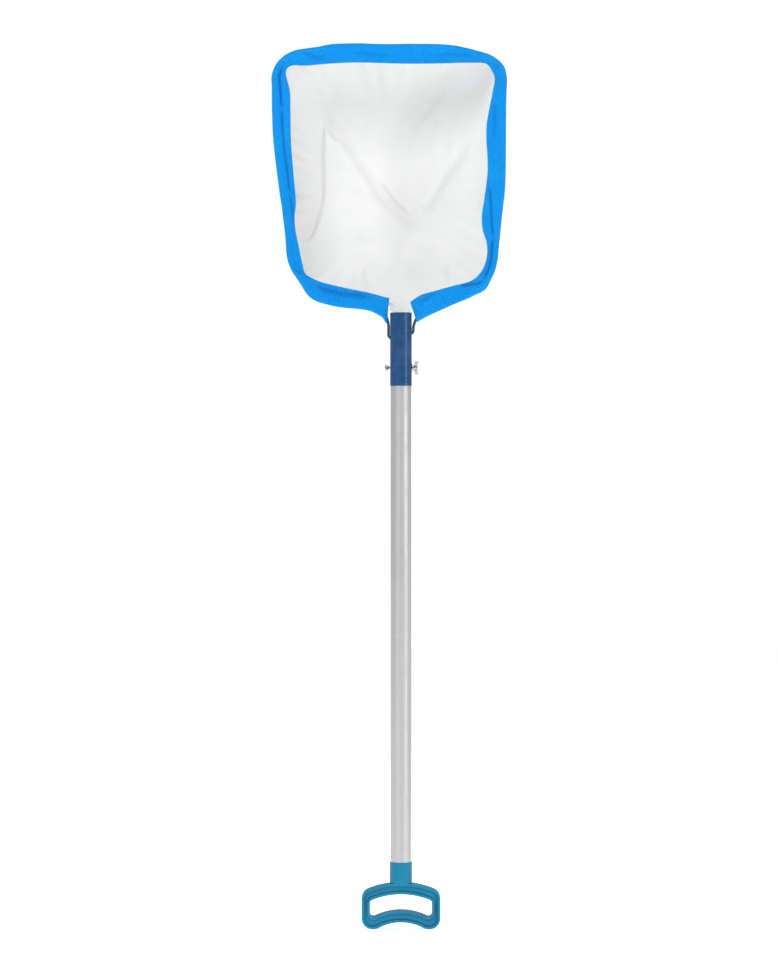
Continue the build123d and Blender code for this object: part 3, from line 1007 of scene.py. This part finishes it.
@dataclass
class Hem:
    """The strip of cloth folded over the hoop and sewn to the bag.

    Its two edges are smooth lines through stations. Across it, from the outer edge inwards, it goes
    round the wire as a quarter of an ellipse, eases down to the flap, and runs flat to the inner
    edge; the back layer mirrors the front. Creases sink it along short lines, puckers wave it, and
    wherever it would touch the wire it is held off by the cover.

    Attributes:
        finish, thread: the cloth and the sewing thread.
        wire: points along the middle of the wire.
        stations: the outer edge's x and z and the inner edge's x and z, in millimetres from the
            pole's axis and above the ferrule's top, from the left of the throat clockwise.
        creases: its creases.
        cover: how far the cloth's middle stays from the wire's middle.
        sleeve_half, flap_half: half its thickness over the wire and at the flap.
        sleeve_width: how far the sleeve reaches from the outer edge.
        thickness: the cloth's own thickness.
        columns: places along the hem at which the cloth has points.
        top: the height of the ferrule's top.
        line: for places along the hem, how far along each is and both edges' x and z.
        station_reach: how far along the hem each station is.
        length: the length of the hem's middle line.
    """

    finish: bpy.types.Material
    thread: bpy.types.Material
    wire: np.ndarray
    stations: Sequence[tuple[float, float, float, float]]
    creases: Sequence[Crease]
    cover: float = 2.5 * MM
    sleeve_half: float = 2.9 * MM
    flap_half: float = 0.8 * MM
    sleeve_width: float = 13.0 * MM
    thickness: float = 0.55 * MM
    columns: int = 640
    top: float = field(init=False)
    line: np.ndarray = field(init=False)
    station_reach: np.ndarray = field(init=False)
    length: float = field(init=False)

    def __post_init__(self) -> None:
        """Works out the smooth edges and how far along each station is."""
        self.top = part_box("ferrule")[1].z
        corners = np.array(self.stations, float) * MM
        fine = smooth_line(corners, STATION_STEPS)
        fine[:, :2] = self.round_the_wire(fine[:, :2], fine[:, 2:])
        middle = (fine[:, :2] + fine[:, 2:]) / 2
        reach = lengths_along(middle)
        self.length = float(reach[-1])
        self.line = np.column_stack([reach, fine])
        self.station_reach = reach[::STATION_STEPS]

    def round_the_wire(self, outer: np.ndarray, inner: np.ndarray) -> np.ndarray:
        """Moves the outer edge outwards wherever the wire would stand out of the fold.

        Across the band at each place, the wire's furthest reach from the inner edge is found, and
        the outer edge lies at least the cover and the cloth beyond it. The moves are then averaged
        along the edge with a bell-shaped weight, so that no step shows.

        Args:
            outer, inner: the x and z of the two edges, one row a place.

        Returns:
            The outer edge as moved.
        """
        width = np.linalg.norm(outer - inner, axis=1)
        ahead = (outer - inner) / width[:, None]
        gap = self.wire[None, :, ::2] - [0.0, self.top] - inner[:, None]
        reach = (gap * ahead[:, None]).sum(-1)
        beside = np.abs(gap[..., 0] * ahead[:, None, 1] - gap[..., 1] * ahead[:, None, 0])
        near = (beside < 1.2 * MM) & (reach > 0) & (reach < 0.04)
        furthest = np.where(near, reach, 0.0).max(1)
        need = np.clip(furthest + self.cover + self.thickness - width, 0.0, None)
        spread = np.arange(-30, 31)
        weight = np.exp(-((spread / 12.0) ** 2))
        widest = np.lib.stride_tricks.sliding_window_view(np.pad(need, 15, mode="edge"), 31).max(-1)
        soft = np.convolve(np.pad(widest, 30, mode="edge"), weight / weight.sum(), mode="valid")
        return outer + ahead * soft[:, None]

    def edges(self, along: np.ndarray) -> tuple[np.ndarray, np.ndarray]:
        """The outer and the inner edge's x and z at distances along the hem."""
        values = [np.interp(along, self.line[:, 0], self.line[:, k]) for k in range(1, 5)]
        return np.stack(values[:2], -1), np.stack(values[2:], -1)

    def relief(self, along: np.ndarray, across: np.ndarray, side: Side) -> tuple[np.ndarray, np.ndarray]:
        """How far the creases sink the cloth, and how much painted shade they lay on it.

        Each crease is a bell shape of the distance to its line.

        Args:
            along: distances along the hem.
            across: distances from the outer edge.
            side: which layer.

        Returns:
            The sinking and the painted shade at each point.
        """
        outer, inner = self.edges(along)
        width = np.linalg.norm(inner - outer, axis=-1)
        sink, painted_shade = np.zeros_like(across), np.zeros_like(across)
        for crease in self.creases if side is Side.FRONT else self.creases[::3]:
            ends = np.array(crease.ends, float)
            reach = np.interp(ends[:, 0], np.arange(len(self.station_reach)), self.station_reach)
            wide = np.interp(reach, self.line[:, 0], np.hypot(*(self.line[:, 3:] - self.line[:, 1:3]).T))
            line = np.column_stack([reach, ends[:, 1] * wide])
            fade = np.exp(-((distance_to_line(along, across, line) / crease.width) ** 2))
            fade *= fading(along, across, line, 2.5 * crease.width)
            sink += crease.depth * fade
            # painted shade: each crease darkens the cloth along its line as well as sinking it
            painted_shade += crease.painted_shade * fade
        free = ease((across - 3 * MM) / (6 * MM))
        seed = 3 if side is Side.FRONT else 4
        pucker = ripple(along, across * 0.35, 0.016, seed) * 0.28
        pucker += ripple(along, across, 0.045, seed + 10) * 0.45
        gather = np.sin(along / (5.2 * MM) + 2.0 * ripple(along, across * 0, 0.06, seed + 20)) * 0.12
        edge = ease((across / width - 0.5) / 0.5)
        return sink * free - (pucker * free + gather * edge) * MM, np.clip(painted_shade, 0.0, 1.0)

    def sheet(self, along: np.ndarray, share: np.ndarray, side: Side) -> tuple[np.ndarray, np.ndarray]:
        """The middle of one layer of the cloth.

        Args:
            along: distances along the hem.
            share: shares of the width, 0 at the outer edge.
            side: which layer.

        Returns:
            The points, and how much painted shade each has.
        """
        outer, inner = self.edges(along)
        width = np.linalg.norm(inner - outer, axis=-1)
        across = share * width
        start = 1.25 * self.cover
        round_wire = np.sqrt(np.clip(1 - (1 - np.minimum(across / start, 1.0)) ** 2, 0, 1))
        fall = ease((across - start) / (np.minimum(self.sleeve_width, 0.72 * width) - start))
        half = self.sleeve_half * round_wire + (self.flap_half - self.sleeve_half) * fall
        sink, painted_shade = self.relief(along, across, side)
        half = np.maximum(half - sink, np.minimum(half, 0.36 * MM))
        sway = 1.3 * MM * share**2 * ripple(along, along * 0, 0.11, 31)
        flat = outer + (inner - outer) * share[..., None]
        points = np.stack([flat[..., 0], side.value * half + sway, flat[..., 1] + self.top], axis=-1)
        return self.clear_of_wire(points, side), painted_shade

    def clear_of_wire(self, points: np.ndarray, side: Side) -> np.ndarray:
        """Holds a layer off the wire.

        Where a point lies over or under the wire as seen from the front, it is at least as far from
        the wire's middle as a circle of the cover's radius is there, on its own layer's side.

        Args:
            points: the layer's points.
            side: which layer.

        Returns:
            The points as moved.
        """
        flat = points.reshape(-1, 3)
        nearest = np.zeros(len(flat), int)
        gap = np.full(len(flat), np.inf)
        for start in range(0, len(self.wire), 256):
            part = self.wire[start:start + 256, ::2]
            squares = ((flat[:, None, ::2] - part[None]) ** 2).sum(-1)
            best = squares.argmin(1)
            found = squares[np.arange(len(flat)), best]
            nearest = np.where(found < gap, best + start, nearest)
            gap = np.minimum(found, gap)
        rise = np.sqrt(np.clip(self.cover**2 - gap, 0.0, None))
        off = side.value * np.maximum(side.value * (flat[:, 1] - self.wire[nearest, 1]), rise)
        depth = np.where(rise > 0, self.wire[nearest, 1] + off, flat[:, 1])
        return np.column_stack([flat[:, 0], depth, flat[:, 2]]).reshape(points.shape)

    def band(self) -> bpy.types.Object:
        """Makes the folded strip, both layers in one piece."""
        along = np.linspace(0.0, self.length, self.columns)
        share = np.linspace(0.0, 1.0, 33) ** 1.4
        along_grid, share_grid = np.meshgrid(along, share, indexing="ij")
        front, painted_shade_front = self.sheet(along_grid, share_grid, Side.FRONT)
        back, painted_shade_back = self.sheet(along_grid, share_grid, Side.BACK)
        fold = (front[:, :1] + back[:, :1]) / 2
        points = np.concatenate([front[:, :0:-1], fold, back[:, 1:]], axis=1)
        painted_shade = np.concatenate([painted_shade_front[:, :0:-1], painted_shade_front[:, :1], painted_shade_back[:, 1:]], axis=1)
        steps = np.linalg.norm(np.diff(points, axis=1), axis=-1).mean(0)
        over = np.concatenate([[0.0], np.cumsum(steps)])
        pattern = np.stack(np.meshgrid(along, over, indexing="ij"), axis=-1)
        piece = Surface(points, pattern=pattern, mask=painted_shade).piece("hem_cloth_band", self.finish)
        solid = piece.modifiers.new("cloth_thickness", "SOLIDIFY")
        solid.thickness, solid.offset = self.thickness, 0.0
        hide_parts("hem_sleeve")
        return piece

    def stitches(self, rows: Sequence[float], length: float, gap: float, radius: float) -> bpy.types.Object:
        """Makes the rows of stitches on both faces.

        A stitch is a short fat thread: rings of six points along an arc whose radius swells in the
        middle, laid along the cloth and raised off it by the cloth's half thickness.

        Args:
            rows: each row's share of the width.
            length: a stitch's length.
            gap: the distance between stitches.
            radius: the thread's radius.

        Returns:
            All the stitches as one piece.
        """
        count = int(self.length / (length + gap)) - 1
        start = (np.arange(count) + 0.5) * (length + gap)
        local = np.linspace(0.0, 1.0, 5)
        swell = np.array([0.0, 0.85, 1.0, 0.85, 0.0])
        lift = np.array([-0.35, 0.45, 0.7, 0.45, -0.35]) * radius
        turn = np.linspace(0, 2 * np.pi, 6, endpoint=False)
        made = []
        for share in rows:
            for side in Side:
                along = start[:, None] + local[None] * length
                along = along + 0.25 * MM * ripple(along * 0 + start[:, None], along * 0, 0.01, 77)
                centre, _ = self.sheet(along, np.full_like(along, share) + 0.006 * ripple(
                    along, along * 0, 0.03, 78), side)
                ahead = np.gradient(centre, axis=1)
                ahead /= np.linalg.norm(ahead, axis=-1, keepdims=True)
                square = np.array([0.0, side.value, 0.0])
                out = square - ahead * (ahead * square).sum(-1, keepdims=True)
                out /= np.linalg.norm(out, axis=-1, keepdims=True)
                beside = np.cross(ahead, out)
                centre = centre + out * (self.thickness / 2 + lift)[None, :, None]
                ring = (np.cos(turn)[:, None] * out[:, :, None, :]
                        + np.sin(turn)[:, None] * beside[:, :, None, :])
                made.append(centre[:, :, None, :] + ring * (radius * swell)[None, :, None, None])
        points = np.concatenate(made)
        stitches, rings, around = points.shape[:3]
        first = np.arange(stitches) * rings * around
        faces = (grid_faces(rings, around)[None] + first[:, None, None]).reshape(-1, 4)
        piece = solid_piece("hem_stitch_rows", points.reshape(-1, 3), faces, self.thread, 1e-6)
        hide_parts("hem_stitching")
        return piece

    def loose_threads(self) -> bpy.types.Object:
        """Makes the few threads that have come loose at the hem's left end, each a thin tube along
        its own curl."""
        low = self.top / MM
        curls = (
            [(-16.5, -0.8, 14.0), (-13.6, -1.6, 11.4), (-11.0, -1.9, 9.4), (-8.6, -1.7, 8.4),
             (-7.2, -1.2, 8.9)],
            [(-16.8, -0.8, 10.5), (-14.6, -1.9, 12.2), (-12.4, -2.2, 12.6), (-10.4, -1.6, 10.8)],
            [(-17.4, -0.8, 3.0), (-15.4, -1.7, 4.8), (-13.9, -1.9, 3.4), (-13.2, -1.5, 1.9)],
        )
        radius, tubes = 0.17 * MM, []
        for curl in curls:
            line = smooth_line((np.array(curl) + [0, 0, low]) * MM, 8)
            tubes.append(tube(line, np.full(len(line), radius), 6))
        return join_tubes("hem_loose_threads", tubes, self.thread)

    def build(self) -> list[bpy.types.Object]:
        """Makes the hem, its stitches and its loose threads.

        Returns:
            The three pieces, the cloth first.
        """
        band = self.band()
        stitches = self.stitches(rows=(0.63, 0.9), length=3.1 * MM, gap=1.2 * MM, radius=0.26 * MM)
        threads = self.loose_threads()
        for piece, slot in ((band, Slot.HEM), (stitches, Slot.THREAD), (threads, Slot.THREAD)):
            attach(piece, Body.NET.value)
        return [band, stitches, threads]


def join_tubes(name: str, tubes: Sequence[Surface], finish: bpy.types.Material) -> bpy.types.Object:
    """Makes several tubes of one width as one piece.

    Args:
        name: the piece's name.
        tubes: grids whose columns close.
        finish: their material.

    Returns:
        The new piece.
    """
    points, faces, first = [], [], 0
    for one in tubes:
        rows, columns = one.points.shape[:2]
        faces.append(first + grid_faces(rows, columns))
        points.append(one.points.reshape(-1, 3))
        first += rows * columns
    return solid_piece(name, np.concatenate(points), np.concatenate(faces), finish, 1e-7)


# ---------------------------------------------------------------- bag


@dataclass(frozen=True)
class Fold:
    """A soft fold that runs over the bag.

    Attributes:
        path: its points as seen from the front, x and z in millimetres from the pole's axis and
            above the ferrule's top.
        height: how far it stands towards the front.
        width: how wide its slope is.
        painted_shade: how much painted shade it lays on the mesh along its path.
    """

    path: tuple[tuple[float, float], ...]
    height: float
    width: float
    painted_shade: float = 0.0


@dataclass
class Bag:
    """The mesh bag behind the hoop.

    Its rim runs between the hem's layers and across the throat. Behind it each ring is the rim drawn
    in towards a middle and pushed back, slowly at first and then round a soft edge into the back
    panel, which closes at the middle. Folds stand out along their paths, gathers ripple it near the
    rim, and the lower part hangs lower as it goes back.

    Attributes:
        finish: the mesh.
        hem: the hem it is sewn to.
        depth: how far it hangs behind the hoop.
        middle: the x and z about which its rings shrink, in millimetres.
        folds: its folds.
        squareness: how square its section is; 2 is round.
        around: points round its rim.
        rings: rings from the rim to the middle of the back.
    """

    finish: bpy.types.Material
    hem: Hem
    depth: float
    middle: tuple[float, float]
    folds: Sequence[Fold]
    squareness: float = 2.7
    around: int = 520
    rings: int = 160

    def rim(self) -> np.ndarray:
        """The rim's x and z, closed, evenly spaced, 4 mm inside the hem and across the throat."""
        along = np.linspace(0.006, self.hem.length - 0.006, 400)
        outer, inner = self.hem.edges(along)
        inward = (inner - outer) / np.linalg.norm(inner - outer, axis=-1, keepdims=True)
        edge = inner - inward * 4 * MM
        throat = np.array([(14.5, 9.5), (13.2, 3.0), (9.6, 0.2), (0.0, -0.4), (-9.6, 0.2), (-13.6, 3.0),
                           (-15.8, 9.5)]) * MM
        whole = np.vstack([edge, throat, edge[:1]])
        reach = lengths_along(whole)
        return resample(whole, np.linspace(0, reach[-1], self.around, endpoint=False))

    def meridian(self, radius: float) -> tuple[np.ndarray, np.ndarray, np.ndarray]:
        """The bag's line from its rim to the middle of its back.

        It is a quarter of a rounded square: its size and its depth, each raised to the power that
        squares it off, add up to one.

        Args:
            radius: the rim's mean distance from the middle.

        Returns:
            The size from 1 to 0, the distance behind the rim, and the distance over the cloth, at
            rings that are evenly spaced over the cloth.
        """
        turn = np.linspace(0.0, np.pi / 2, 2000)
        size, back = np.cos(turn) ** (2 / self.squareness), self.depth * np.sin(turn) ** (2 / self.squareness)
        size[-1] = 0.0
        line = np.column_stack([size * radius, back])
        reach = np.linspace(0.0, lengths_along(line)[-1], self.rings)
        even = resample(line, reach)
        even[-1] = line[-1]
        return even[:, 0] / radius, even[:, 1], reach

    def shape(self) -> tuple[np.ndarray, np.ndarray, np.ndarray]:
        """The bag's points, where each lay in the flat cloth, and the painted fold shade at each.

        Away from the rim the rings lose the rim's corners: they are averaged along it with a
        bell-shaped weight. The flat cloth is the bag opened out: each point keeps its direction
        from the middle and its distance to it over the cloth."""
        rim = self.rim()
        middle = np.array(self.middle) * MM
        radius = float(np.linalg.norm(rim - middle, axis=1).mean())
        size, back, reach = (x[:, None] for x in self.meridian(radius))
        t = reach / reach[-1]
        spread = np.arange(self.around) - self.around // 2
        bell = np.exp(-((spread / 22.0) ** 2))
        turned = np.fft.fft(np.fft.ifftshift(bell / bell.sum()))[:, None]
        away = np.fft.ifft(np.fft.fft(rim - middle, axis=0) * turned, axis=0).real
        corner = 0.3
        soften, panel = ease(t / corner), ease((t - corner) / corner)
        x = middle[0] + ((rim - middle)[None, :, 0] * (1 - soften) + away[None, :, 0] * soften) * size
        z = middle[1] + ((rim - middle)[None, :, 1] * (1 - soften) + away[None, :, 1] * soften) * size
        y = np.broadcast_to(back, x.shape).copy()
        free = ease(t / 0.1)
        z -= 0.006 * ease(back / self.depth) * np.clip(1 - (z / 0.36), 0, 1) * free
        angle = np.linspace(0, 2 * np.pi, self.around, endpoint=False)[None]
        pleat = np.sin(46 * angle + 2.2 * np.sin(3 * angle + 1.0)) * ripple(angle, angle * 0, 0.7, 51)
        wall = free * (1 - panel)
        outward = away / np.linalg.norm(away, axis=-1, keepdims=True)
        swell = (1.6 * pleat + 3.2 * ripple(angle * 0.18, y, 0.09, 52)) * MM * wall
        x, z = x + outward[None, :, 0] * swell, z + outward[None, :, 1] * swell
        y = y - (4.5 * MM + 4.0 * MM * ripple(x, z, 0.12, 53) + 1.0 * MM * ripple(x, z, 0.035, 54)) * panel
        painted_fold_shade = np.zeros_like(x)
        for fold in self.folds:
            line = smooth_line(np.array(fold.path, float) * MM, 12)
            near = np.exp(-((distance_to_line(x, z, line) / fold.width) ** 2))
            near *= fading(x, z, line, 4 * fold.width)
            y = y - fold.height * near * free
            # painted shade: each fold greys the mesh along its path
            painted_fold_shade += fold.painted_shade * near * free
        points = np.stack([x, np.maximum(y, 0.0), z + self.hem.top], axis=-1)
        flat = middle + outward[None] * (reach[-1] - reach)[..., None]
        return points, flat, np.clip(painted_fold_shade, 0, 1)

    def build(self) -> bpy.types.Object:
        """Makes the bag."""
        points, flat, painted_fold_shade = self.shape()
        pattern = np.concatenate([flat, flat[:, :1]], axis=1)
        piece = Surface(points, closed_columns=True, pattern=pattern, mask=painted_fold_shade).piece(
            "mesh_bag", self.finish, merge=True)
        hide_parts("bag_side_panel", "bag_back_panel")
        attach(piece, Body.NET.value)
        return piece


# ---------------------------------------------------------------- studio


@dataclass(frozen=True)
class Softbox:
    """A soft rectangular lamp.

    Attributes:
        name: its name.
        place: where it hangs.
        aim: what it faces.
        width, height: its size.
        power: its power in watts.
    """

    name: str
    place: tuple[float, float, float]
    aim: tuple[float, float, float]
    width: float
    height: float
    power: float

    def build(self) -> None:
        """Hangs the lamp."""
        lamp = bpy.data.lights.new(self.name, "AREA")
        lamp.shape, lamp.size, lamp.size_y, lamp.energy = "RECTANGLE", self.width, self.height, self.power
        holder = bpy.data.objects.new(self.name, lamp)
        holder.location = self.place
        holder.rotation_euler = (Vector(self.aim) - Vector(self.place)).to_track_quat("-Z", "Y").to_euler()
        bpy.context.scene.collection.objects.link(holder)


@dataclass
class Studio:
    """The white room, its lamps and its camera.

    Attributes:
        low, high: the object's lowest and highest corner.
        lens: the camera's focal length in millimetres.
        margin: the share of the picture's height that is left free in all.
        lamps: the softboxes.
    """

    low: Vector
    high: Vector
    lens: float = 135.0
    margin: float = 0.09
    lamps: Sequence[Softbox] = ()

    def build(self) -> None:
        """Makes the floor, the surrounding light, the lamps and the camera."""
        self.floor()
        self.surroundings()
        for lamp in self.lamps:
            lamp.build()
        self.camera()

    def floor(self) -> None:
        """Makes a wide round sheet of white paper just under the grip: rings of points whose radius
        grows with the square of their number."""
        radius = 9.0 * np.linspace(0, 1, 40)[:, None] ** 2
        turn = np.linspace(0, 2 * np.pi, 64, endpoint=False)[None]
        height = np.full((40, 64), self.low.z - 0.3 * MM)
        points = np.stack([radius * np.cos(turn), radius * np.sin(turn), height], axis=-1)
        material = bpy.data.materials.new("studio_paper")
        material.use_nodes = True
        graph = Graph(material.node_tree)
        shader = material.node_tree.nodes["Principled BSDF"]
        tooth = graph.noise(graph.add("ShaderNodeTexCoord").outputs["Object"], 300.0, 3.0)
        graph.feed(graph.blend(tooth, srgb(250, 250, 250), srgb(246, 247, 248)), shader.inputs["Base Color"])
        shader.inputs["Roughness"].default_value = 0.9
        shader.inputs["Emission Color"].default_value = (1.0, 1.0, 1.0, 1.0)
        shader.inputs["Emission Strength"].default_value = 0.7
        floor = Surface(points, closed_columns=True).piece("studio_floor", material, merge=True)

    def surroundings(self) -> None:
        """Makes the white surroundings. What lights the object is a little darker in front than at
        the sides, as a real white tent is where the camera looks in."""
        world = bpy.data.worlds.new("white_tent")
        world.use_nodes = True
        bpy.context.scene.world = world
        graph = Graph(world.node_tree)
        output = world.node_tree.nodes["World Output"]
        seen = world.node_tree.nodes["Background"]
        seen.inputs["Color"].default_value = (1.0, 1.0, 1.0, 1.0)
        seen.inputs["Strength"].default_value = 1.05
        light = graph.add("ShaderNodeBackground")
        axes = graph.add("ShaderNodeSeparateXYZ")
        graph.feed(graph.add("ShaderNodeTexCoord").outputs["Generated"], axes.inputs[0])
        side = graph.remap(graph.maths("ABSOLUTE", axes.outputs[0]), 0.1, 0.95, 0.0, 1.0)
        graph.feed(graph.blend(side, (0.62, 0.62, 0.63, 1.0), (0.98, 0.98, 0.98, 1.0)), light.inputs["Color"])
        light.inputs["Strength"].default_value = 0.42
        chosen = graph.add("ShaderNodeMixShader")
        graph.feed(graph.add("ShaderNodeLightPath").outputs["Is Camera Ray"], chosen.inputs[0])
        graph.feed(light.outputs[0], chosen.inputs[1])
        graph.feed(seen.outputs[0], chosen.inputs[2])
        graph.feed(chosen.outputs[0], output.inputs["Surface"])
        bpy.context.scene.view_settings.view_transform = "Standard"

    def camera(self) -> None:
        """Sets the camera level with the object's middle, square to the net, far back on a long lens."""
        data = bpy.data.cameras.new("front_camera")
        data.lens, data.sensor_width = self.lens, 36.0
        middle, tall = (self.low + self.high) / 2, self.high.z - self.low.z
        field_height = tall / (1 - self.margin)
        distance = field_height / 2 / math.tan(math.atan(data.sensor_width / 2 / self.lens))
        camera = bpy.data.objects.new("front_camera", data)
        camera.location = (middle.x, -distance, middle.z)
        camera.rotation_euler = (math.pi / 2, 0.0, 0.0)
        data.clip_end = 60.0
        bpy.context.scene.collection.objects.link(camera)
        bpy.context.scene.camera = camera


# ---------------------------------------------------------------- the skimmer

HEM_STATIONS = (
    (-18.8, -8.8, -15.8, 20.0), (-27.0, -5.0, -25.0, 22.0), (-41.0, 2.0, -37.0, 25.5),
    (-57.0, 5.0, -52.0, 29.0),
    (-81.0, 7.2, -77.0, 34.0), (-100.0, 11.0, -95.0, 38.3), (-117.0, 16.4, -108.0, 41.5),
    (-128.0, 25.0, -117.0, 45.0), (-139.0, 42.0, -125.0, 49.0), (-150.0, 59.0, -131.5, 55.0),
    (-155.5, 76.0, -135.5, 71.0), (-156.0, 96.0, -140.5, 95.0), (-158.0, 116.0, -144.0, 113.0),
    (-161.0, 136.0, -145.3, 132.0), (-164.5, 156.0, -143.5, 152.0), (-170.0, 197.0, -147.3, 196.0),
    (-174.4, 238.0, -150.3, 238.0), (-176.0, 278.0, -150.9, 278.0), (-176.2, 305.0, -151.8, 303.0),
    (-175.4, 321.0, -156.0, 320.0), (-169.5, 334.5, -157.0, 329.0), (-160.0, 345.0, -153.5, 335.5),
    (-147.0, 353.0, -145.0, 338.0), (-130.0, 358.0, -130.0, 337.5), (-110.0, 362.0, -110.0, 339.2),
    (-90.0, 366.8, -88.0, 340.8), (-67.6, 366.6, -67.0, 341.6), (-41.0, 364.3, -41.0, 341.6),
    (-13.4, 363.6, -13.4, 340.7), (14.0, 364.7, 14.0, 340.2), (46.8, 365.9, 46.0, 340.3),
    (68.0, 365.1, 66.0, 340.8),
    (86.0, 361.8, 83.0, 341.3), (104.0, 357.5, 98.0, 341.6), (121.0, 350.0, 109.5, 341.4),
    (134.0, 341.5, 117.5, 339.5), (142.0, 331.5, 123.5, 332.0), (144.5, 319.0, 128.0, 320.0),
    (144.0, 300.0, 125.3, 302.0), (143.0, 278.0, 120.8, 279.0), (142.4, 258.0, 117.2, 258.0),
    (142.0, 236.0, 116.6, 236.0), (141.7, 212.0, 118.2, 212.0), (141.5, 188.0, 118.0, 188.0),
    (139.9, 156.0, 114.0, 156.0), (137.0, 133.0, 110.6, 134.0), (134.5, 110.0, 111.6, 113.0),
    (132.3, 93.0, 117.0, 96.0), (130.0, 72.0, 117.4, 77.0), (124.0, 49.2, 112.0, 60.0),
    (115.0, 31.7, 102.0, 47.5),
    (98.0, 23.3, 90.0, 41.3), (77.0, 15.6, 71.0, 36.6), (54.5, 5.7, 47.5, 30.0), (35.4, -3.4, 27.5, 24.2),
    (21.2, -12.0, 12.6, 14.5),
)

HEM_CREASES = (
    Crease(((20.5, 0.62), (17.0, 0.52)), 1.7 * MM, 1.9 * MM, 0.75),
    Crease(((17.0, 0.52), (14.2, 0.66)), 1.5 * MM, 1.8 * MM, 0.65),
    Crease(((14.2, 0.66), (12.4, 0.9)), 1.1 * MM, 1.7 * MM, 0.5),
    Crease(((43.5, 0.82), (46.5, 0.45)), 1.3 * MM, 1.9 * MM, 0.6),
    Crease(((46.5, 0.45), (49.6, 0.5)), 1.5 * MM, 1.8 * MM, 0.7),
    Crease(((49.6, 0.5), (51.6, 0.9)), 1.4 * MM, 2.0 * MM, 0.75),
    Crease(((9.2, 0.15), (8.4, 0.95)), 1.2 * MM, 2.2 * MM, 0.4),
    Crease(((7.0, 0.85), (2.0, 0.72)), 0.8 * MM, 4.0 * MM, 0.55),
    Crease(((22.5, 0.2), (24.5, 0.8)), 1.0 * MM, 3.0 * MM, 0.3),
    Crease(((35.0, 0.2), (36.2, 0.9)), 1.0 * MM, 2.4 * MM, 0.35),
    Crease(((26.0, 0.5), (28.0, 0.62)), 0.9 * MM, 2.6 * MM, 0.25),
    Crease(((30.0, 0.6), (33.0, 0.45)), 0.8 * MM, 2.6 * MM, 0.25),
    Crease(((38.5, 0.72), (41.0, 0.6)), 0.8 * MM, 2.4 * MM, 0.3),
    Crease(((53.0, 0.85), (54.6, 0.78)), 0.9 * MM, 3.2 * MM, 0.5),
)

BAG_FOLDS = (
    Fold(((-112, 300), (-90, 262), (-52, 205), (-22, 160), (8, 132), (22, 126)), 5.7 * MM, 6.8 * MM, 0.17),
    Fold(((22, 126), (42, 160), (66, 200), (92, 236), (108, 262)), 4.6 * MM, 7.6 * MM, 0.14),
    Fold(((84, 330), (60, 300), (32, 268), (4, 238)), 4.3 * MM, 6.8 * MM, 0.17),
    Fold(((-30, 190), (-8, 158), (16, 138)), 3.5 * MM, 3.1 * MM, 0.31),
    Fold(((-104, 268), (-107, 225), (-106, 172), (-114, 130), (-124, 106), (-136, 103)),
         4.1 * MM, 2.2 * MM, 0.40),
    Fold(((-104, 268), (-96, 252), (-84, 240)), 3.2 * MM, 2.5 * MM, 0.35),
    Fold(((-44, 78), (-52, 62), (-56, 38)), 3.5 * MM, 3.8 * MM, 0.28),
    Fold(((60, 80), (62, 62), (66, 38)), 3.2 * MM, 3.8 * MM, 0.25),
    Fold(((-84, 110), (-60, 112), (-34, 106)), 2.7 * MM, 6.0 * MM, 0.14),
    Fold(((-130, 320), (-112, 308), (-96, 316)), 2.7 * MM, 4.2 * MM, 0.17),
)


def main() -> None:
    """Builds the studio and every part of the skimmer."""
    logging.basicConfig(level=logging.INFO, format="%(name)s: %(message)s")
    effects = Effects()
    low, high = cad_corners
    ferrule_low, ferrule_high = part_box("ferrule")
    joint, pole_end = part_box("pole_upper")[0].z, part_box("handle")[1].z
    lamps = (
        Softbox("key_softbox", (-0.9, -1.9, 2.9), (0, 0, 0.7), 1.2, 1.2, 46.0),
        Softbox("side_softbox", (2.4, -1.6, 0.9), (0, 0, 0.6), 0.35, 2.2, 18.0),
        Softbox("back_softbox", (0.3, 2.2, 1.9), (0, 0, 0.8), 1.8, 1.4, 16.0),
    )
    Studio(low, high, lamps=lamps).build()
    plastic = MouldedPlastic("teal_plastic", effects, srgb(0, 136, 172), srgb(0, 124, 162), 0.01).build()
    aluminium = DrawnAluminium("drawn_aluminium", effects, srgb(205, 205, 206), srgb(190, 190, 191),
                               joint, pole_end).build()
    navy = PowderCoat("navy_powder_coat", effects, srgb(14, 68, 116), srgb(24, 78, 126),
                      ferrule_low.z, ferrule_high.z).build()
    zinc = ZincPlate("zinc_plate", effects).build()
    cloth = WovenPolyester("blue_polyester", effects, srgb(0, 158, 240), srgb(0, 122, 214),
                           srgb(10, 172, 246), 800.0).build()
    thread = TwistedThread("blue_thread", effects, srgb(40, 140, 215), srgb(8, 86, 170)).build()
    mesh = KnittedMesh("white_mesh", effects, srgb(240, 240, 239), srgb(234, 234, 233), 1500.0, 0.82).build()

    Handle(plastic).dress()
    Pole(aluminium).dress()
    mount = NetMount(navy)
    mount.dress()
    for piece in ClampHardware(zinc).build():
        log.info("%s: %d faces", piece.name, len(piece.data.polygons))
    hem = Hem(cloth, thread, mount.wire_line(), HEM_STATIONS, HEM_CREASES)
    hem_pieces = hem.build()
    bag = Bag(mesh, hem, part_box("bag_back_panel")[1].y, (-16.0, 182.0), BAG_FOLDS).build()
    for piece in (*hem_pieces, bag):
        log.info("%s: %d faces", piece.name, len(piece.data.polygons))


if __name__ == "__main__":
    main()
